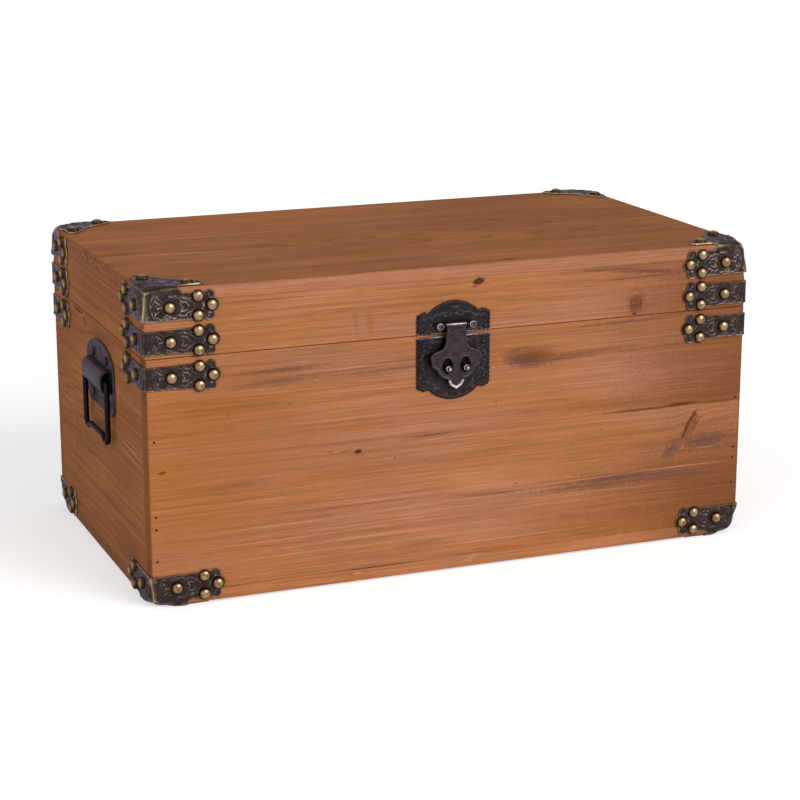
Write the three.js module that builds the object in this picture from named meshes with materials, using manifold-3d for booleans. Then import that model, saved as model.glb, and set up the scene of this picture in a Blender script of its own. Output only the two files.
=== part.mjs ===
// A small pine sea chest with a hinged lid, pressed corner brackets, a two-post hasp and two drop handles.
// Millimetres. The front faces -Y, the length runs along X, and the chest stands on z = 0.
import * as THREE from "three";
import { mergeVertices } from "three/addons/utils/BufferGeometryUtils.js";
import { RoundedBoxGeometry } from "three/addons/geometries/RoundedBoxGeometry.js";
import Module from "manifold-3d";

const wasm = await Module();
wasm.setup();

// Driving dimensions

const chest = {
  length: 350,
  depth: 200,
  height: 170,
  lidHeight: 36.5,
  seamGap: 0.4,
};

// The front panel's two joints stand at these shares of its height.
const board = {
  wall: 8,
  top: 7,
  base: 7,
  edgeRadius: 1.2,
  cornerRadius: 2.9,
  lowJointShare: 0.57,
  highJointShare: 0.8115,
};

// Metal lies this far off the wood or metal that carries it, and a turning piece keeps the running gap.
const fit = {
  seat: 0.3,
  running: 0.3,
  trim: 0.05,
  overrun: 2,
};

const nail = {
  radius: 3.1,
  height: 2,
  shoulderShare: 0.72,
  riseShare: 0.7,
  sink: 0.4,
};

// Distances along an arm are from the chest's vertical edge.
const bracket = {
  sheet: 0.8,
  band: 12.6,
  flare: 14,
  firstNail: 13.8,
  pairNail: 28.8,
  pairSpread: 10.2,
  endNail: 36.2,
  endLobe: 4.1,
  petal: 35.4,
  petalSpread: 10.4,
  petalLobe: 2.6,
  lidEdgeRise: 8.5,
  boxEdgeDrop: 10.2,
};

// A corner bracket's arms hang from the fold of the nearest horizontal edge.
const corner = {
  nailDrop: 9.9,
  skirt: 17,
  foldLength: 18.5,
  foldRamp: 2.5,
  upperDrop: 2.6,
  leafReach: 34,
  leafLobe: 3.8,
};
const leafShares = [
  [0.62, 0.06],
  [0.93, 0.07],
  [1, 0.15],
  [0.93, 0.26],
  [0.74, 0.39],
  [0.52, 0.52],
];
const leafNailShares = [0.75, 0.21];

const latch = {
  offset: -4.4,
  width: 43.1,
  sheet: 1,
  upperEdge: 0.4,
  upperCorner: 11.4,
  lowerEdge: 1.75,
  lowerCorner: 30.6,
  shoulder: 1.8,
  archWidth: 24.8,
  archRise: 4.1,
  pinRise: 5,
  pinReach: 3.7,
  pinRadius: 0.9,
  knobRadius: 2.2,
  earThickness: 0.7,
  barrelRadius: 2,
  barrelLength: 11.8,
  flapReach: 4.2,
  flapSheet: 1.2,
  flapWidth: 30.3,
  flapLength: 35.1,
  holeSpread: 10.4,
  holeDrop: 21.9,
  holeWidth: 5.6,
  holeHeight: 8.4,
  postDrop: 23,
  postRadius: 1.75,
  postReach: 9,
  postNub: 1.4,
  postNubRadius: 0.9,
  shankRadius: 1,
  tackRadius: 1.3,
  tackHeight: 0.7,
};
// Half of the flap's outline: share of half its width, share of its length below the pin.
const flapShares = [
  [0.37, 0],
  [0.41, 0.285],
  [0.54, 0.36],
  [0.88, 0.4],
  [1, 0.47],
  [0.95, 0.58],
  [0.94, 0.635],
  [0.74, 0.68],
  [0.7, 0.74],
  [0.53, 0.815],
  [0.3, 0.85],
  [0.24, 0.91],
  [0.08, 0.957],
];
// Tacks of the lower plate and the upper plate: distance from the middle, height from the seam.
const tacks = {
  lowerAcross: 17.4,
  lowerHigh: 6.2,
  lowerLow: 25.5,
  upperAcross: 18.4,
  upperHigh: 2.6,
};

const handle = {
  offset: -10,
  pivotDrop: 28,
  pivotReach: 3.7,
  sheet: 1,
  plateWidth: 57.4,
  plateDrop: 19,
  archFoot: 6,
  archRise: 13.2,
  humpLength: 41.6,
  humpHeight: 13,
  humpWall: 0.9,
  wireRadius: 2,
  spread: 48,
  pinLength: 10,
  bend: 3,
  drop: 34.5,
  cornerBend: 5,
  gripRise: 2.4,
  gripLength: 22,
  gripRamp: 5,
  upperScrewAcross: 13.7,
  upperScrewRise: 10.4,
  lowerScrewAcross: 16.6,
  lowerScrewDrop: 13.2,
};

const hinge = {
  bracketGap: 13.2,
  width: 33,
  leaf: 16,
  sheet: 1,
  axisReach: 2.9,
  barrelRadius: 2.2,
  knuckle: 11,
  pinRadius: 1,
  headRadius: 1.7,
  headThickness: 0.8,
  screwAcross: 10,
  screwRise: 9.6,
};

const screw = {
  headRadius: 2.5,
  headHeight: 1.2,
  rimHeight: 0.4,
  shankRadius: 1.2,
  bite: 5.6,
};

// Facets: a full circle has twice as many sides as its kind's number here.
const facets = {
  fine: 6,
  round: 5,
  small: 4,
  least: 3,
  rounding: 2,
  wireSteps: 38,
};

// Places worked out from the sizes

const left = -chest.length / 2;
const right = chest.length / 2;
const front = -chest.depth / 2;
const back = chest.depth / 2;
const seam = chest.height - chest.lidHeight;
const boxTop = seam - chest.seamGap / 2;
const lidBottom = seam + chest.seamGap / 2;
const lidTopUnder = chest.height - board.top;
const metalReach = fit.seat + bracket.sheet;
const latchPlateReach = fit.seat + latch.sheet;
const handlePlateReach = fit.seat + handle.sheet;
const hingePlateReach = fit.seat + hinge.sheet;
const pinHeight = seam + latch.pinRise;
const backReach = hinge.axisReach + hinge.barrelRadius;
const pivotHeight = seam - handle.pivotDrop;

// Finishes

const finish = (color, roughness, metalness) =>
  new THREE.MeshStandardMaterial({ color, roughness, metalness });
const frontPine = finish(0xb27048, 0.6, 0);
const sidePine = finish(0x8f5a36, 0.6, 0);
const bronze = finish(0x4c434a, 0.42, 0.85);
const gunmetal = finish(0x3a363a, 0.45, 0.85);
const steel = finish(0xb9b2ac, 0.3, 1);
const blackIron = finish(0x36333a, 0.5, 0.8);

// Outlines drawn flat are turned onto a face of the chest: the first two directions carry the
// outline's x and y, and the third carries its thickness, away from the wood.
const X = new THREE.Vector3(1, 0, 0);
const Y = new THREE.Vector3(0, 1, 0);
const Z = new THREE.Vector3(0, 0, 1);
const turn = (first, second, third) => new THREE.Matrix4().makeBasis(first, second, third);
const onTop = turn(X, Y, Z);
const onFront = turn(X, Z, Y.clone().negate());
const onBack = turn(X, Z, Y);
const onLeft = turn(Y, Z, X.clone().negate());
const onRight = turn(Y, Z, X);
const alongX = turn(Y.clone().negate(), Z, X);

// Solids from geometries

function signedVolume(geometry) {
  const corners = geometry.index.array;
  const place = geometry.attributes.position;
  const [a, b, c] = [new THREE.Vector3(), new THREE.Vector3(), new THREE.Vector3()];
  let volume = 0;
  for (let i = 0; i < corners.length; i += 3) {
    a.fromBufferAttribute(place, corners[i]);
    b.fromBufferAttribute(place, corners[i + 1]);
    c.fromBufferAttribute(place, corners[i + 2]);
    volume += a.dot(b.cross(c));
  }
  return volume;
}

// One closed skin with shared corners, faces pointing out and no empty triangles.
function welded(geometry) {
  const bare = geometry.clone();
  bare.deleteAttribute("normal");
  bare.deleteAttribute("uv");
  const merged = mergeVertices(bare);
  const corners = merged.index.array;
  const kept = [];
  for (let i = 0; i < corners.length; i += 3) {
    const [a, b, c] = corners.slice(i, i + 3);
    if (a !== b && b !== c && c !== a) kept.push(a, b, c);
  }
  merged.setIndex(kept);
  if (signedVolume(merged) < 0) kept.reverse();
  merged.setIndex(kept);
  return merged;
}

function moved(geometry, matrix, x = 0, y = 0, z = 0) {
  return welded(geometry.clone().applyMatrix4(matrix).translate(x, y, z));
}

function solidOf(geometry) {
  return new wasm.Manifold(
    new wasm.Mesh({
      numProp: 3,
      vertProperties: Float32Array.from(geometry.attributes.position.array),
      triVerts: Uint32Array.from(geometry.index.array),
    }),
  );
}

function geometryOf(solid) {
  const mesh = solid.getMesh();
  const geometry = new THREE.BufferGeometry();
  geometry.setAttribute("position", new THREE.BufferAttribute(mesh.vertProperties, mesh.numProp));
  geometry.setIndex(new THREE.BufferAttribute(mesh.triVerts, 1));
  geometry.computeVertexNormals();
  return geometry;
}

const joined = (geometries) => geometries.map(solidOf).reduce((whole, piece) => whole.add(piece));
const cut = (solid, geometries) =>
  geometries.map(solidOf).reduce((whole, piece) => whole.subtract(piece), solid);

// Basic forms

function prism(outline, from, to, curveSegments = facets.round) {
  const settings = { depth: to - from, bevelEnabled: false, curveSegments };
  return new THREE.ExtrudeGeometry(outline, settings).translate(0, 0, from);
}

function polygon(points) {
  return new THREE.Shape(points.map(([x, y]) => new THREE.Vector2(x, y)));
}

function circle(x, y, radius) {
  return new THREE.Shape().absarc(x, y, radius, 0, 2 * Math.PI);
}

function block(x0, x1, y0, y1, z0, z1) {
  const size = new THREE.BoxGeometry(x1 - x0, y1 - y0, z1 - z0);
  return welded(size.translate((x0 + x1) / 2, (y0 + y1) / 2, (z0 + z1) / 2));
}

// A rectangle with a radius at each corner in turn: front left, front right, back right, back left.
function softRectangle(x0, x1, y0, y1, radii) {
  const [fl, fr, br, bl] = radii;
  const shape = new THREE.Shape();
  const quarter = Math.PI / 2;
  shape.moveTo(x0 + fl, y0);
  shape.lineTo(x1 - fr, y0);
  if (fr > 0) shape.absarc(x1 - fr, y0 + fr, fr, -quarter, 0);
  shape.lineTo(x1, y1 - br);
  if (br > 0) shape.absarc(x1 - br, y1 - br, br, 0, quarter);
  shape.lineTo(x0 + bl, y1);
  if (bl > 0) shape.absarc(x0 + bl, y1 - bl, bl, quarter, 2 * quarter);
  shape.lineTo(x0, y0 + fl);
  if (fl > 0) shape.absarc(x0 + fl, y0 + fl, fl, 2 * quarter, 3 * quarter);
  return shape;
}

// A turned piece: its profile's pairs are radius and height above the face it stands on. The lathe turns
// about Y, and the front face's turn stands it along Z.
function turnedPiece(profile, steps) {
  const points = profile.map(([radius, height]) => new THREE.Vector2(radius, height));
  return moved(new THREE.LatheGeometry(points, steps), onFront);
}

// Assembly

const seaChest = new THREE.Group();
seaChest.name = "sea_chest";
// The wood's own frame, shifted so that the whole chest is centred and its base leaves stand on z = 0.
const woodFrame = new THREE.Group();
woodFrame.position.set(0, (latch.postReach - backReach) / 2, metalReach);
seaChest.add(woodFrame);

function add(name, geometry, material) {
  const mesh = new THREE.Mesh(geometry, material);
  mesh.name = name;
  woodFrame.add(mesh);
}

// The four vertical edges, and the signs that carry the front left one onto each.
const edges = [
  ["front_left", 1, 1],
  ["front_right", -1, 1],
  ["back_left", 1, -1],
  ["back_right", -1, -1],
];

// Carries a piece made at the front left corner's own origin to another corner, at a given height.
function atCorner(geometry, [, signX, signY], height, signZ = 1) {
  const mirror = new THREE.Matrix4().makeScale(signX, signY, signZ);
  return moved(geometry, mirror, signX * left, signY * front, height);
}

// Nails and screws

function dome(radius, height, sink) {
  const shoulder = [radius * nail.shoulderShare, height * nail.riseShare];
  return turnedPiece([[0, -sink], [radius, -sink], shoulder, [0, height]], 2 * facets.least);
}

const nailDome = dome(nail.radius, nail.height, nail.sink);
const tackDome = dome(latch.tackRadius, latch.tackHeight, nail.sink);

function screwPiece(plateReach) {
  const under = plateReach + fit.seat;
  const rim = under + screw.rimHeight;
  return turnedPiece(
    [
      [0, -screw.bite],
      [screw.shankRadius, -screw.bite],
      [screw.shankRadius, under],
      [screw.headRadius, under],
      [screw.headRadius, rim],
      [screw.headRadius * nail.shoulderShare, under + screw.headHeight * nail.shoulderShare],
      [0, under + screw.headHeight],
    ],
    2 * facets.least,
  );
}

const screwHole = circle(0, 0, screw.shankRadius + fit.running);
const pilotHole = prism(screwHole, -screw.bite - fit.seat, fit.overrun, facets.least);

// Screw places on each side plate and each hinge leaf, in the plate's own directions.
const handleScrews = [
  ["upper_front", -handle.upperScrewAcross, handle.upperScrewRise],
  ["upper_back", handle.upperScrewAcross, handle.upperScrewRise],
  ["lower_front", -handle.lowerScrewAcross, -handle.lowerScrewDrop],
  ["lower_back", handle.lowerScrewAcross, -handle.lowerScrewDrop],
];
const hingeScrews = [
  ["left", -hinge.screwAcross],
  ["right", hinge.screwAcross],
];
const hingeInset = bracket.endNail + bracket.endLobe + hinge.bracketGap + hinge.width / 2;
const hinges = [
  ["left", left + hingeInset],
  ["right", right - hingeInset],
];

// Wood

// What the pressed corner brackets need the wood's corners to lose, at the front left corner's own
// origin, with the wood's face at z = 0 and the wood below it.
function cornerWaste() {
  const reach = corner.foldLength + corner.foldRamp;
  const whole = block(-fit.overrun, reach, -fit.overrun, reach, -corner.skirt, fit.overrun);
  return solidOf(whole).subtract(solidOf(softCorner(board.cornerRadius, fit.trim)));
}

// A block with soft edges whose corner stands outside the wood's own corner by a given reach.
function softCorner(radius, reach) {
  const size = 2 * corner.leafReach;
  const centre = size / 2 - reach;
  const form = new RoundedBoxGeometry(size, size, size, facets.rounding, radius + reach);
  return welded(form.translate(centre, centre, -centre));
}

const topWaste = edges.map((edge) => atCorner(geometryOf(cornerWaste()), edge, chest.height));
const baseWaste = edges.map((edge) => atCorner(geometryOf(cornerWaste()), edge, 0, -1));

function makeWood() {
  const soft = board.edgeRadius;
  const frontInside = front + board.wall;
  const backInside = back - board.wall;
  const panelHeight = boxTop - board.base;
  const lowJoint = board.base + board.lowJointShare * panelHeight;
  const highJoint = board.base + board.highJointShare * panelHeight;
  const sheet = softRectangle(left, right, front, back, [soft, soft, soft, soft]);
  const frontRun = softRectangle(left, right, front, frontInside, [soft, soft, 0, 0]);
  const backRun = softRectangle(left, right, backInside, back, [0, 0, soft, soft]);
  const addBoard = (name, outline, from, to, waste, wood) => {
    const whole = welded(prism(outline, from, to, facets.rounding));
    add(name, geometryOf(cut(solidOf(whole), waste)), wood);
  };

  const handleHoles = (onFace, x) =>
    handleScrews.map(([, across, rise]) =>
      moved(pilotHole, onFace, x, handle.offset + across, pivotHeight + rise));
  const hingeHoles = (sign) =>
    hinges.flatMap(([, x]) =>
      hingeScrews.map(([, across]) =>
        moved(pilotHole, onBack, x + across, back, seam + sign * hinge.screwRise)));
  const leftBoard = block(left, left + board.wall, frontInside, backInside, board.base, boxTop);
  const rightBoard = block(right - board.wall, right, frontInside, backInside, board.base, boxTop);
  const backWaste = [...baseWaste, ...hingeHoles(-1)];
  const railWaste = [...topWaste, ...hingeHoles(1)];

  addBoard("base_board", sheet, 0, board.base, baseWaste, sidePine);
  addBoard("front_strip_bottom", frontRun, board.base, lowJoint, baseWaste, frontPine);
  addBoard("front_strip_middle", frontRun, lowJoint, highJoint, [], frontPine);
  addBoard("front_strip_top", frontRun, highJoint, boxTop, [], frontPine);
  addBoard("back_panel", backRun, board.base, boxTop, backWaste, sidePine);
  add("left_side_panel", geometryOf(cut(solidOf(leftBoard), handleHoles(onLeft, left))), sidePine);
  add("right_side_panel", geometryOf(cut(solidOf(rightBoard), handleHoles(onRight, right))), sidePine);

  addBoard("lid_top_board", sheet, lidTopUnder, chest.height, topWaste, sidePine);
  addBoard("lid_front_rail", frontRun, lidBottom, lidTopUnder, topWaste, frontPine);
  addBoard("lid_back_rail", backRun, lidBottom, lidTopUnder, railWaste, sidePine);
  const leftRail = block(left, left + board.wall, frontInside, backInside, lidBottom, lidTopUnder);
  const rightRail = block(right - board.wall, right, frontInside, backInside, lidBottom, lidTopUnder);
  add("lid_left_rail", leftRail, sidePine);
  add("lid_right_rail", rightRail, sidePine);
}

// Brackets, made at the front left corner's own origin

// The round end of one arm and the petals beside it; height is that of its middle nails.
function armLobes(height) {
  const petal = bracket.petalSpread / 2;
  return [
    circle(bracket.petal, height + petal, bracket.petalLobe),
    circle(bracket.petal, height - petal, bracket.petalLobe),
    circle(bracket.endNail, height, bracket.endLobe),
  ];
}

function armNails(height) {
  const spread = bracket.pairSpread / 2;
  const places = [
    [bracket.firstNail, height],
    [bracket.pairNail, height + spread],
    [bracket.pairNail, height - spread],
    [bracket.endNail, height],
  ];
  const frontNails = places.map(([x, z]) => moved(nailDome, onFront, x, -metalReach, z));
  const sideNails = places.map(([y, z]) => moved(nailDome, onLeft, -metalReach, y, z));
  return [...frontNails, ...sideNails];
}

// Where an arm's sheet may be: its outline's prism, from inside the fold to outside the sheet.
function armRegion(outlines, foldRadius) {
  const over = metalReach + fit.overrun;
  const prisms = outlines.map((outline) => prism(outline, -foldRadius, over, facets.small));
  const frontArm = prisms.map((form) => moved(form, onFront));
  const sideArm = prisms.map((form) => moved(form, onLeft));
  return joined([...frontArm, ...sideArm]);
}

// The bent strip over a vertical edge. Its outline starts just outside the fold.
function edgeBracket() {
  const start = -metalReach - fit.overrun;
  const half = bracket.band / 2;
  const wide = bracket.flare / 2;
  const lobe = bracket.endLobe;
  const band = polygon([
    [start, -half],
    [bracket.firstNail, -half],
    [bracket.pairNail, -wide],
    [bracket.endNail, -lobe],
    [bracket.endNail, lobe],
    [bracket.pairNail, wide],
    [bracket.firstNail, half],
    [start, half],
  ]);
  const region = armRegion([band, ...armLobes(0)], board.edgeRadius);
  const reach = bracket.endNail + bracket.endLobe + fit.overrun;
  const tall = bracket.flare / 2 + fit.overrun;
  const skin = (off) => {
    const radius = board.edgeRadius + off;
    const outline = softRectangle(-off, reach, -off, reach, [radius, 0, 0, 0]);
    return solidOf(welded(prism(outline, -tall, tall, facets.rounding)));
  };
  const sheet = skin(metalReach).subtract(skin(fit.seat)).intersect(region);
  return geometryOf(sheet.add(joined(armNails(0))));
}

// The pressed three-way corner. The wood's horizontal face is at z = 0 and the wood lies below it.
function cornerBracket(leafNails) {
  const start = -metalReach - fit.overrun;
  const over = metalReach + fit.overrun;
  const height = -corner.nailDrop;
  const arm = polygon([
    [start, -corner.skirt],
    [bracket.pairNail, -corner.skirt],
    [bracket.endNail, height - bracket.endLobe],
    [bracket.endNail, height + bracket.endLobe],
    [bracket.pairNail, -corner.upperDrop],
    [corner.foldLength + corner.foldRamp, -corner.upperDrop],
    [corner.foldLength, over],
    [start, over],
  ]);
  const half = leafShares.map(([x, y]) => [x * corner.leafReach, y * corner.leafReach]);
  const otherHalf = half.map(([x, y]) => [y, x]).reverse().slice(1);
  const leaf = polygon([
    [start, start],
    [corner.foldLength, start],
    ...half,
    ...otherHalf,
    [start, corner.foldLength],
  ]);
  const [far, near] = leafNailShares.map((share) => share * corner.leafReach);
  const leafPlaces = [[far, near], [near, far]];
  const lobes = leafPlaces.map(([x, y]) => circle(x, y, corner.leafLobe));
  const leafRegion = [leaf, ...lobes].map((outline) =>
    moved(prism(outline, -board.cornerRadius, over, facets.small), onTop));
  const region = armRegion([arm, ...armLobes(height)], board.cornerRadius).add(joined(leafRegion));
  const outer = solidOf(softCorner(board.cornerRadius, metalReach));
  const sheet = outer.subtract(solidOf(softCorner(board.cornerRadius, fit.seat))).intersect(region);
  const leafDomes = leafPlaces.map(([x, y]) => moved(nailDome, onTop, x, y, metalReach));
  const domes = leafNails ? [...armNails(height), ...leafDomes] : armNails(height);
  return geometryOf(sheet.add(joined(domes)));
}

function makeBrackets() {
  const edge = edgeBracket();
  const lidCorner = cornerBracket(true);
  const baseCorner = cornerBracket(false);
  for (const place of edges) {
    add(`lid_corner_${place[0]}`, atCorner(lidCorner, place, chest.height), bronze);
    add(`lid_edge_bracket_${place[0]}`, atCorner(edge, place, seam + bracket.lidEdgeRise), bronze);
    add(`box_edge_bracket_${place[0]}`, atCorner(edge, place, seam - bracket.boxEdgeDrop), bronze);
    add(`base_corner_${place[0]}`, atCorner(baseCorner, place, 0, -1), bronze);
  }
}

// Latch, drawn from the middle of its plates and from the seam

function latchPlate(edge, far) {
  const half = latch.width / 2;
  const foot = far + latch.shoulder;
  const arch = latch.archWidth / 2;
  const shape = new THREE.Shape();
  shape.moveTo(-half, edge);
  shape.lineTo(half, edge);
  shape.lineTo(half, far);
  shape.lineTo(arch, foot);
  shape.quadraticCurveTo(0, foot + 2 * latch.archRise, -arch, foot);
  shape.lineTo(-half, far);
  return prism(shape, fit.seat, latchPlateReach, facets.fine);
}

function makeLatch() {
  const onLatch = (geometry, z = seam) => moved(geometry, onFront, latch.offset, front, z);
  const acrossLatch = (geometry) => moved(geometry, alongX, latch.offset, front, pinHeight);
  const tack = (across, z) =>
    moved(tackDome, onFront, latch.offset + across, front - latchPlateReach, z);
  const bore = latch.pinRadius + fit.running;
  const barrelEnd = latch.barrelLength / 2;
  const earFrom = barrelEnd + fit.running;
  const earTo = earFrom + latch.earThickness;
  const knob = earTo + fit.running;

  const earOutline = new THREE.Shape();
  earOutline.moveTo(fit.seat, -latch.barrelRadius);
  earOutline.lineTo(latch.pinReach, -latch.barrelRadius);
  earOutline.absarc(latch.pinReach, 0, latch.barrelRadius, -Math.PI / 2, Math.PI / 2);
  earOutline.lineTo(fit.seat, latch.barrelRadius);
  earOutline.holes.push(new THREE.Path().absarc(latch.pinReach, 0, bore, 0, 2 * Math.PI));
  const ears = [[-earTo, -earFrom], [earFrom, earTo]].map(([from, to]) =>
    acrossLatch(prism(earOutline, from, to, facets.small)));
  const upperTacks = [-1, 1].map((side) => tack(side * tacks.upperAcross, seam + tacks.upperHigh));
  const upperPlate = latchPlate(latch.upperEdge, latch.upperCorner);
  const upper = joined([onLatch(upperPlate), ...ears, ...upperTacks]);
  add("latch_upper_plate", geometryOf(upper), gunmetal);

  const lowerMatrix = new THREE.Matrix4().makeScale(1, -1, 1);
  const lowerPlate = latchPlate(latch.lowerEdge, latch.lowerCorner).applyMatrix4(lowerMatrix);
  const lowerTacks = [-1, 1].flatMap((side) =>
    [tacks.lowerHigh, tacks.lowerLow].map((drop) => tack(side * tacks.lowerAcross, seam - drop)));
  const postHeight = pinHeight - latch.postDrop;
  const postSides = [["left", -latch.holeSpread / 2], ["right", latch.holeSpread / 2]];
  const shankOutline = circle(0, 0, latch.shankRadius + fit.running);
  const postHole = prism(shankOutline, 0, latchPlateReach + fit.overrun, facets.small);
  const postHoles = postSides.map(([, across]) =>
    moved(postHole, onFront, latch.offset + across, front, postHeight));
  const lower = cut(joined([onLatch(lowerPlate), ...lowerTacks]), postHoles);
  add("latch_lower_plate", geometryOf(lower), gunmetal);

  const post = turnedPiece(
    [
      [0, fit.seat],
      [latch.shankRadius, fit.seat],
      [latch.shankRadius, latchPlateReach + fit.seat],
      [latch.postRadius, latchPlateReach + fit.seat],
      [latch.postRadius, latch.postReach - latch.postNub],
      [latch.postNubRadius, latch.postReach - latch.postNub],
      [latch.postNubRadius, latch.postReach],
      [0, latch.postReach],
    ],
    2 * facets.round,
  );
  for (const [side, across] of postSides) {
    add(`latch_post_${side}`, moved(post, onFront, latch.offset + across, front, postHeight), steel);
  }

  const halfWidth = latch.flapWidth / 2;
  const rightHalf = flapShares.map(([x, y]) => [x * halfWidth, -y * latch.flapLength]);
  const leftHalf = rightHalf.map(([x, y]) => [-x, y]).reverse();
  const flapOutline = polygon([...rightHalf, [0, -latch.flapLength], ...leftHalf]);
  for (const side of [-1, 1]) {
    const hole = new THREE.Path();
    const x = (side * latch.holeSpread) / 2;
    hole.absellipse(x, -latch.holeDrop, latch.holeWidth / 2, latch.holeHeight / 2, 0, 2 * Math.PI);
    flapOutline.holes.push(hole);
  }
  const flapFace = latch.flapReach + latch.flapSheet;
  const flapSheet = onLatch(prism(flapOutline, latch.flapReach, flapFace), pinHeight);
  const barrel = acrossLatch(prism(circle(latch.pinReach, 0, latch.barrelRadius), -barrelEnd, barrelEnd));
  const boreEnd = barrelEnd + fit.overrun;
  const barrelBore = acrossLatch(prism(circle(latch.pinReach, 0, bore), -boreEnd, boreEnd, facets.small));
  add("latch_flap", geometryOf(cut(joined([flapSheet, barrel]), [barrelBore])), gunmetal);

  const knobCentre = knob + latch.knobRadius;
  const rod = prism(circle(latch.pinReach, 0, latch.pinRadius), -knobCentre, knobCentre, facets.small);
  const knobForm = new THREE.SphereGeometry(latch.knobRadius, 2 * facets.small, facets.round);
  const knobs = [-knobCentre, knobCentre].map((across) =>
    knobForm.clone().translate(latch.pinReach, 0, across));
  add("latch_pin", geometryOf(joined([rod, ...knobs].map(acrossLatch))), steel);
}

// Drop handles, drawn from the pivot of the bail

// The wire's centre line, from one pin's end to the other, hanging straight down.
function bailLine() {
  const leg = handle.spread / 2;
  const tip = leg - handle.pinLength;
  const grip = handle.gripLength / 2;
  const low = -handle.drop;
  const high = low + handle.gripRise;
  const half = (side) => {
    const point = (across, rise) => new THREE.Vector3(side * across, rise, handle.pivotReach);
    const pinEnd = point(leg - handle.bend, 0);
    const legTop = point(leg, -handle.bend);
    const legFoot = point(leg, low + handle.cornerBend);
    const gripFoot = point(leg - handle.cornerBend, low);
    const ramp = grip + handle.gripRamp;
    return [
      new THREE.LineCurve3(point(tip, 0), pinEnd),
      new THREE.QuadraticBezierCurve3(pinEnd, point(leg, 0), legTop),
      new THREE.LineCurve3(legTop, legFoot),
      new THREE.QuadraticBezierCurve3(legFoot, point(leg, low), gripFoot),
      new THREE.CubicBezierCurve3(gripFoot, point(ramp, low), point(ramp, high), point(grip, high)),
    ];
  };
  const first = half(-1);
  const second = half(1).reverse().map(reverseCurve);
  const middle = new THREE.LineCurve3(first.at(-1).v3, second[0].v0);
  const line = new THREE.CurvePath();
  line.curves.push(...first, middle, ...second);
  return line;
}

function reverseCurve(curve) {
  if (curve.isLineCurve3) return new THREE.LineCurve3(curve.v2, curve.v1);
  if (curve.isQuadraticBezierCurve3) return new THREE.QuadraticBezierCurve3(curve.v2, curve.v1, curve.v0);
  return new THREE.CubicBezierCurve3(curve.v3, curve.v2, curve.v1, curve.v0);
}

function makeHandles() {
  const half = handle.plateWidth / 2;
  const plateOutline = new THREE.Shape();
  plateOutline.moveTo(-half, -handle.plateDrop);
  plateOutline.lineTo(half, -handle.plateDrop);
  plateOutline.lineTo(half, handle.archFoot);
  plateOutline.absellipse(0, handle.archFoot, half, handle.archRise, 0, Math.PI);
  const plate = prism(plateOutline, fit.seat, handlePlateReach, facets.fine);

  const boreRadius = handle.wireRadius + fit.running;
  const humpReach = handle.pivotReach + boreRadius + handle.humpWall;
  const humpHalf = handle.humpHeight / 2;
  const humpOutline = new THREE.Shape();
  humpOutline.moveTo(fit.seat, -humpHalf);
  humpOutline.bezierCurveTo(humpReach, -humpHalf, humpReach, -humpHalf / 2, humpReach, 0);
  humpOutline.bezierCurveTo(humpReach, humpHalf / 2, humpReach, humpHalf, fit.seat, humpHalf);
  const humpEnd = handle.humpLength / 2;
  const hump = prism(humpOutline, -humpEnd, humpEnd, facets.small);
  const boreEnd = humpEnd + fit.overrun;
  const bore = prism(circle(handle.pivotReach, 0, boreRadius), -boreEnd, boreEnd, facets.small);
  const holes = handleScrews.map(([, across, rise]) =>
    prism(screwHole, 0, handlePlateReach + fit.overrun, facets.least).translate(across, rise, 0));

  const wire = new THREE.ExtrudeGeometry(circle(0, 0, handle.wireRadius), {
    steps: facets.wireSteps,
    extrudePath: bailLine(),
    curveSegments: facets.small,
  });
  const bailScrew = screwPiece(handlePlateReach);

  const sides = [
    ["left", left, onLeft, X.clone().negate()],
    ["right", right, onRight, X],
  ];
  for (const [name, x, face, outward] of sides) {
    const lengthwise = turn(outward, Z, Y);
    const onPlate = (geometry) => moved(geometry, face, x, handle.offset, pivotHeight);
    const alongPlate = (geometry) => moved(geometry, lengthwise, x, handle.offset, pivotHeight);
    const body = joined([onPlate(plate), alongPlate(hump)]);
    const plateSolid = cut(body, [alongPlate(bore), ...holes.map(onPlate)]);
    add(`${name}_handle_plate`, geometryOf(plateSolid), blackIron);
    add(`${name}_handle_bail`, onPlate(wire), blackIron);
    for (const [place, across, rise] of handleScrews) {
      const piece = moved(bailScrew, face, x, handle.offset + across, pivotHeight + rise);
      add(`${name}_handle_screw_${place}`, piece, blackIron);
    }
  }
}

// Hinges, drawn from the middle of the hinge and from the seam

function hingeLeaf(x, sign) {
  const half = hinge.width / 2;
  const knuckle = hinge.knuckle / 2;
  const gap = hinge.barrelRadius + fit.running;
  const clear = knuckle + fit.running;
  const zones = sign < 0 ? [[-half, -clear], [clear, half]] : [[-knuckle, knuckle]];
  const facing = new THREE.Matrix4().makeScale(1, sign, 1);
  const onLeaf = (form) => moved(form.applyMatrix4(facing), onBack, x, back, seam);
  const alongPin = (form) => moved(form, onRight, x, back, seam);
  const sheet = (from, to, low, high) => onLeaf(block(from, to, low, high, fit.seat, hingePlateReach));

  const plate = sheet(-half, half, gap, hinge.leaf);
  const tabs = zones.map(([from, to]) => sheet(from, to, 0, gap + hinge.sheet));
  const ring = circle(hinge.axisReach, 0, hinge.barrelRadius);
  const rings = zones.map(([from, to]) => alongPin(prism(ring, from, to)));
  const boreOutline = circle(hinge.axisReach, 0, hinge.pinRadius + fit.running);
  const bore = alongPin(prism(boreOutline, -half - fit.overrun, half + fit.overrun, facets.small));
  const hole = prism(screwHole, 0, hingePlateReach + fit.overrun, facets.least);
  const holes = hingeScrews.map(([, across]) =>
    onLeaf(hole.clone().translate(across, hinge.screwRise, 0)));
  return geometryOf(cut(joined([plate, ...tabs, ...rings]), [bore, ...holes]));
}

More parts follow.
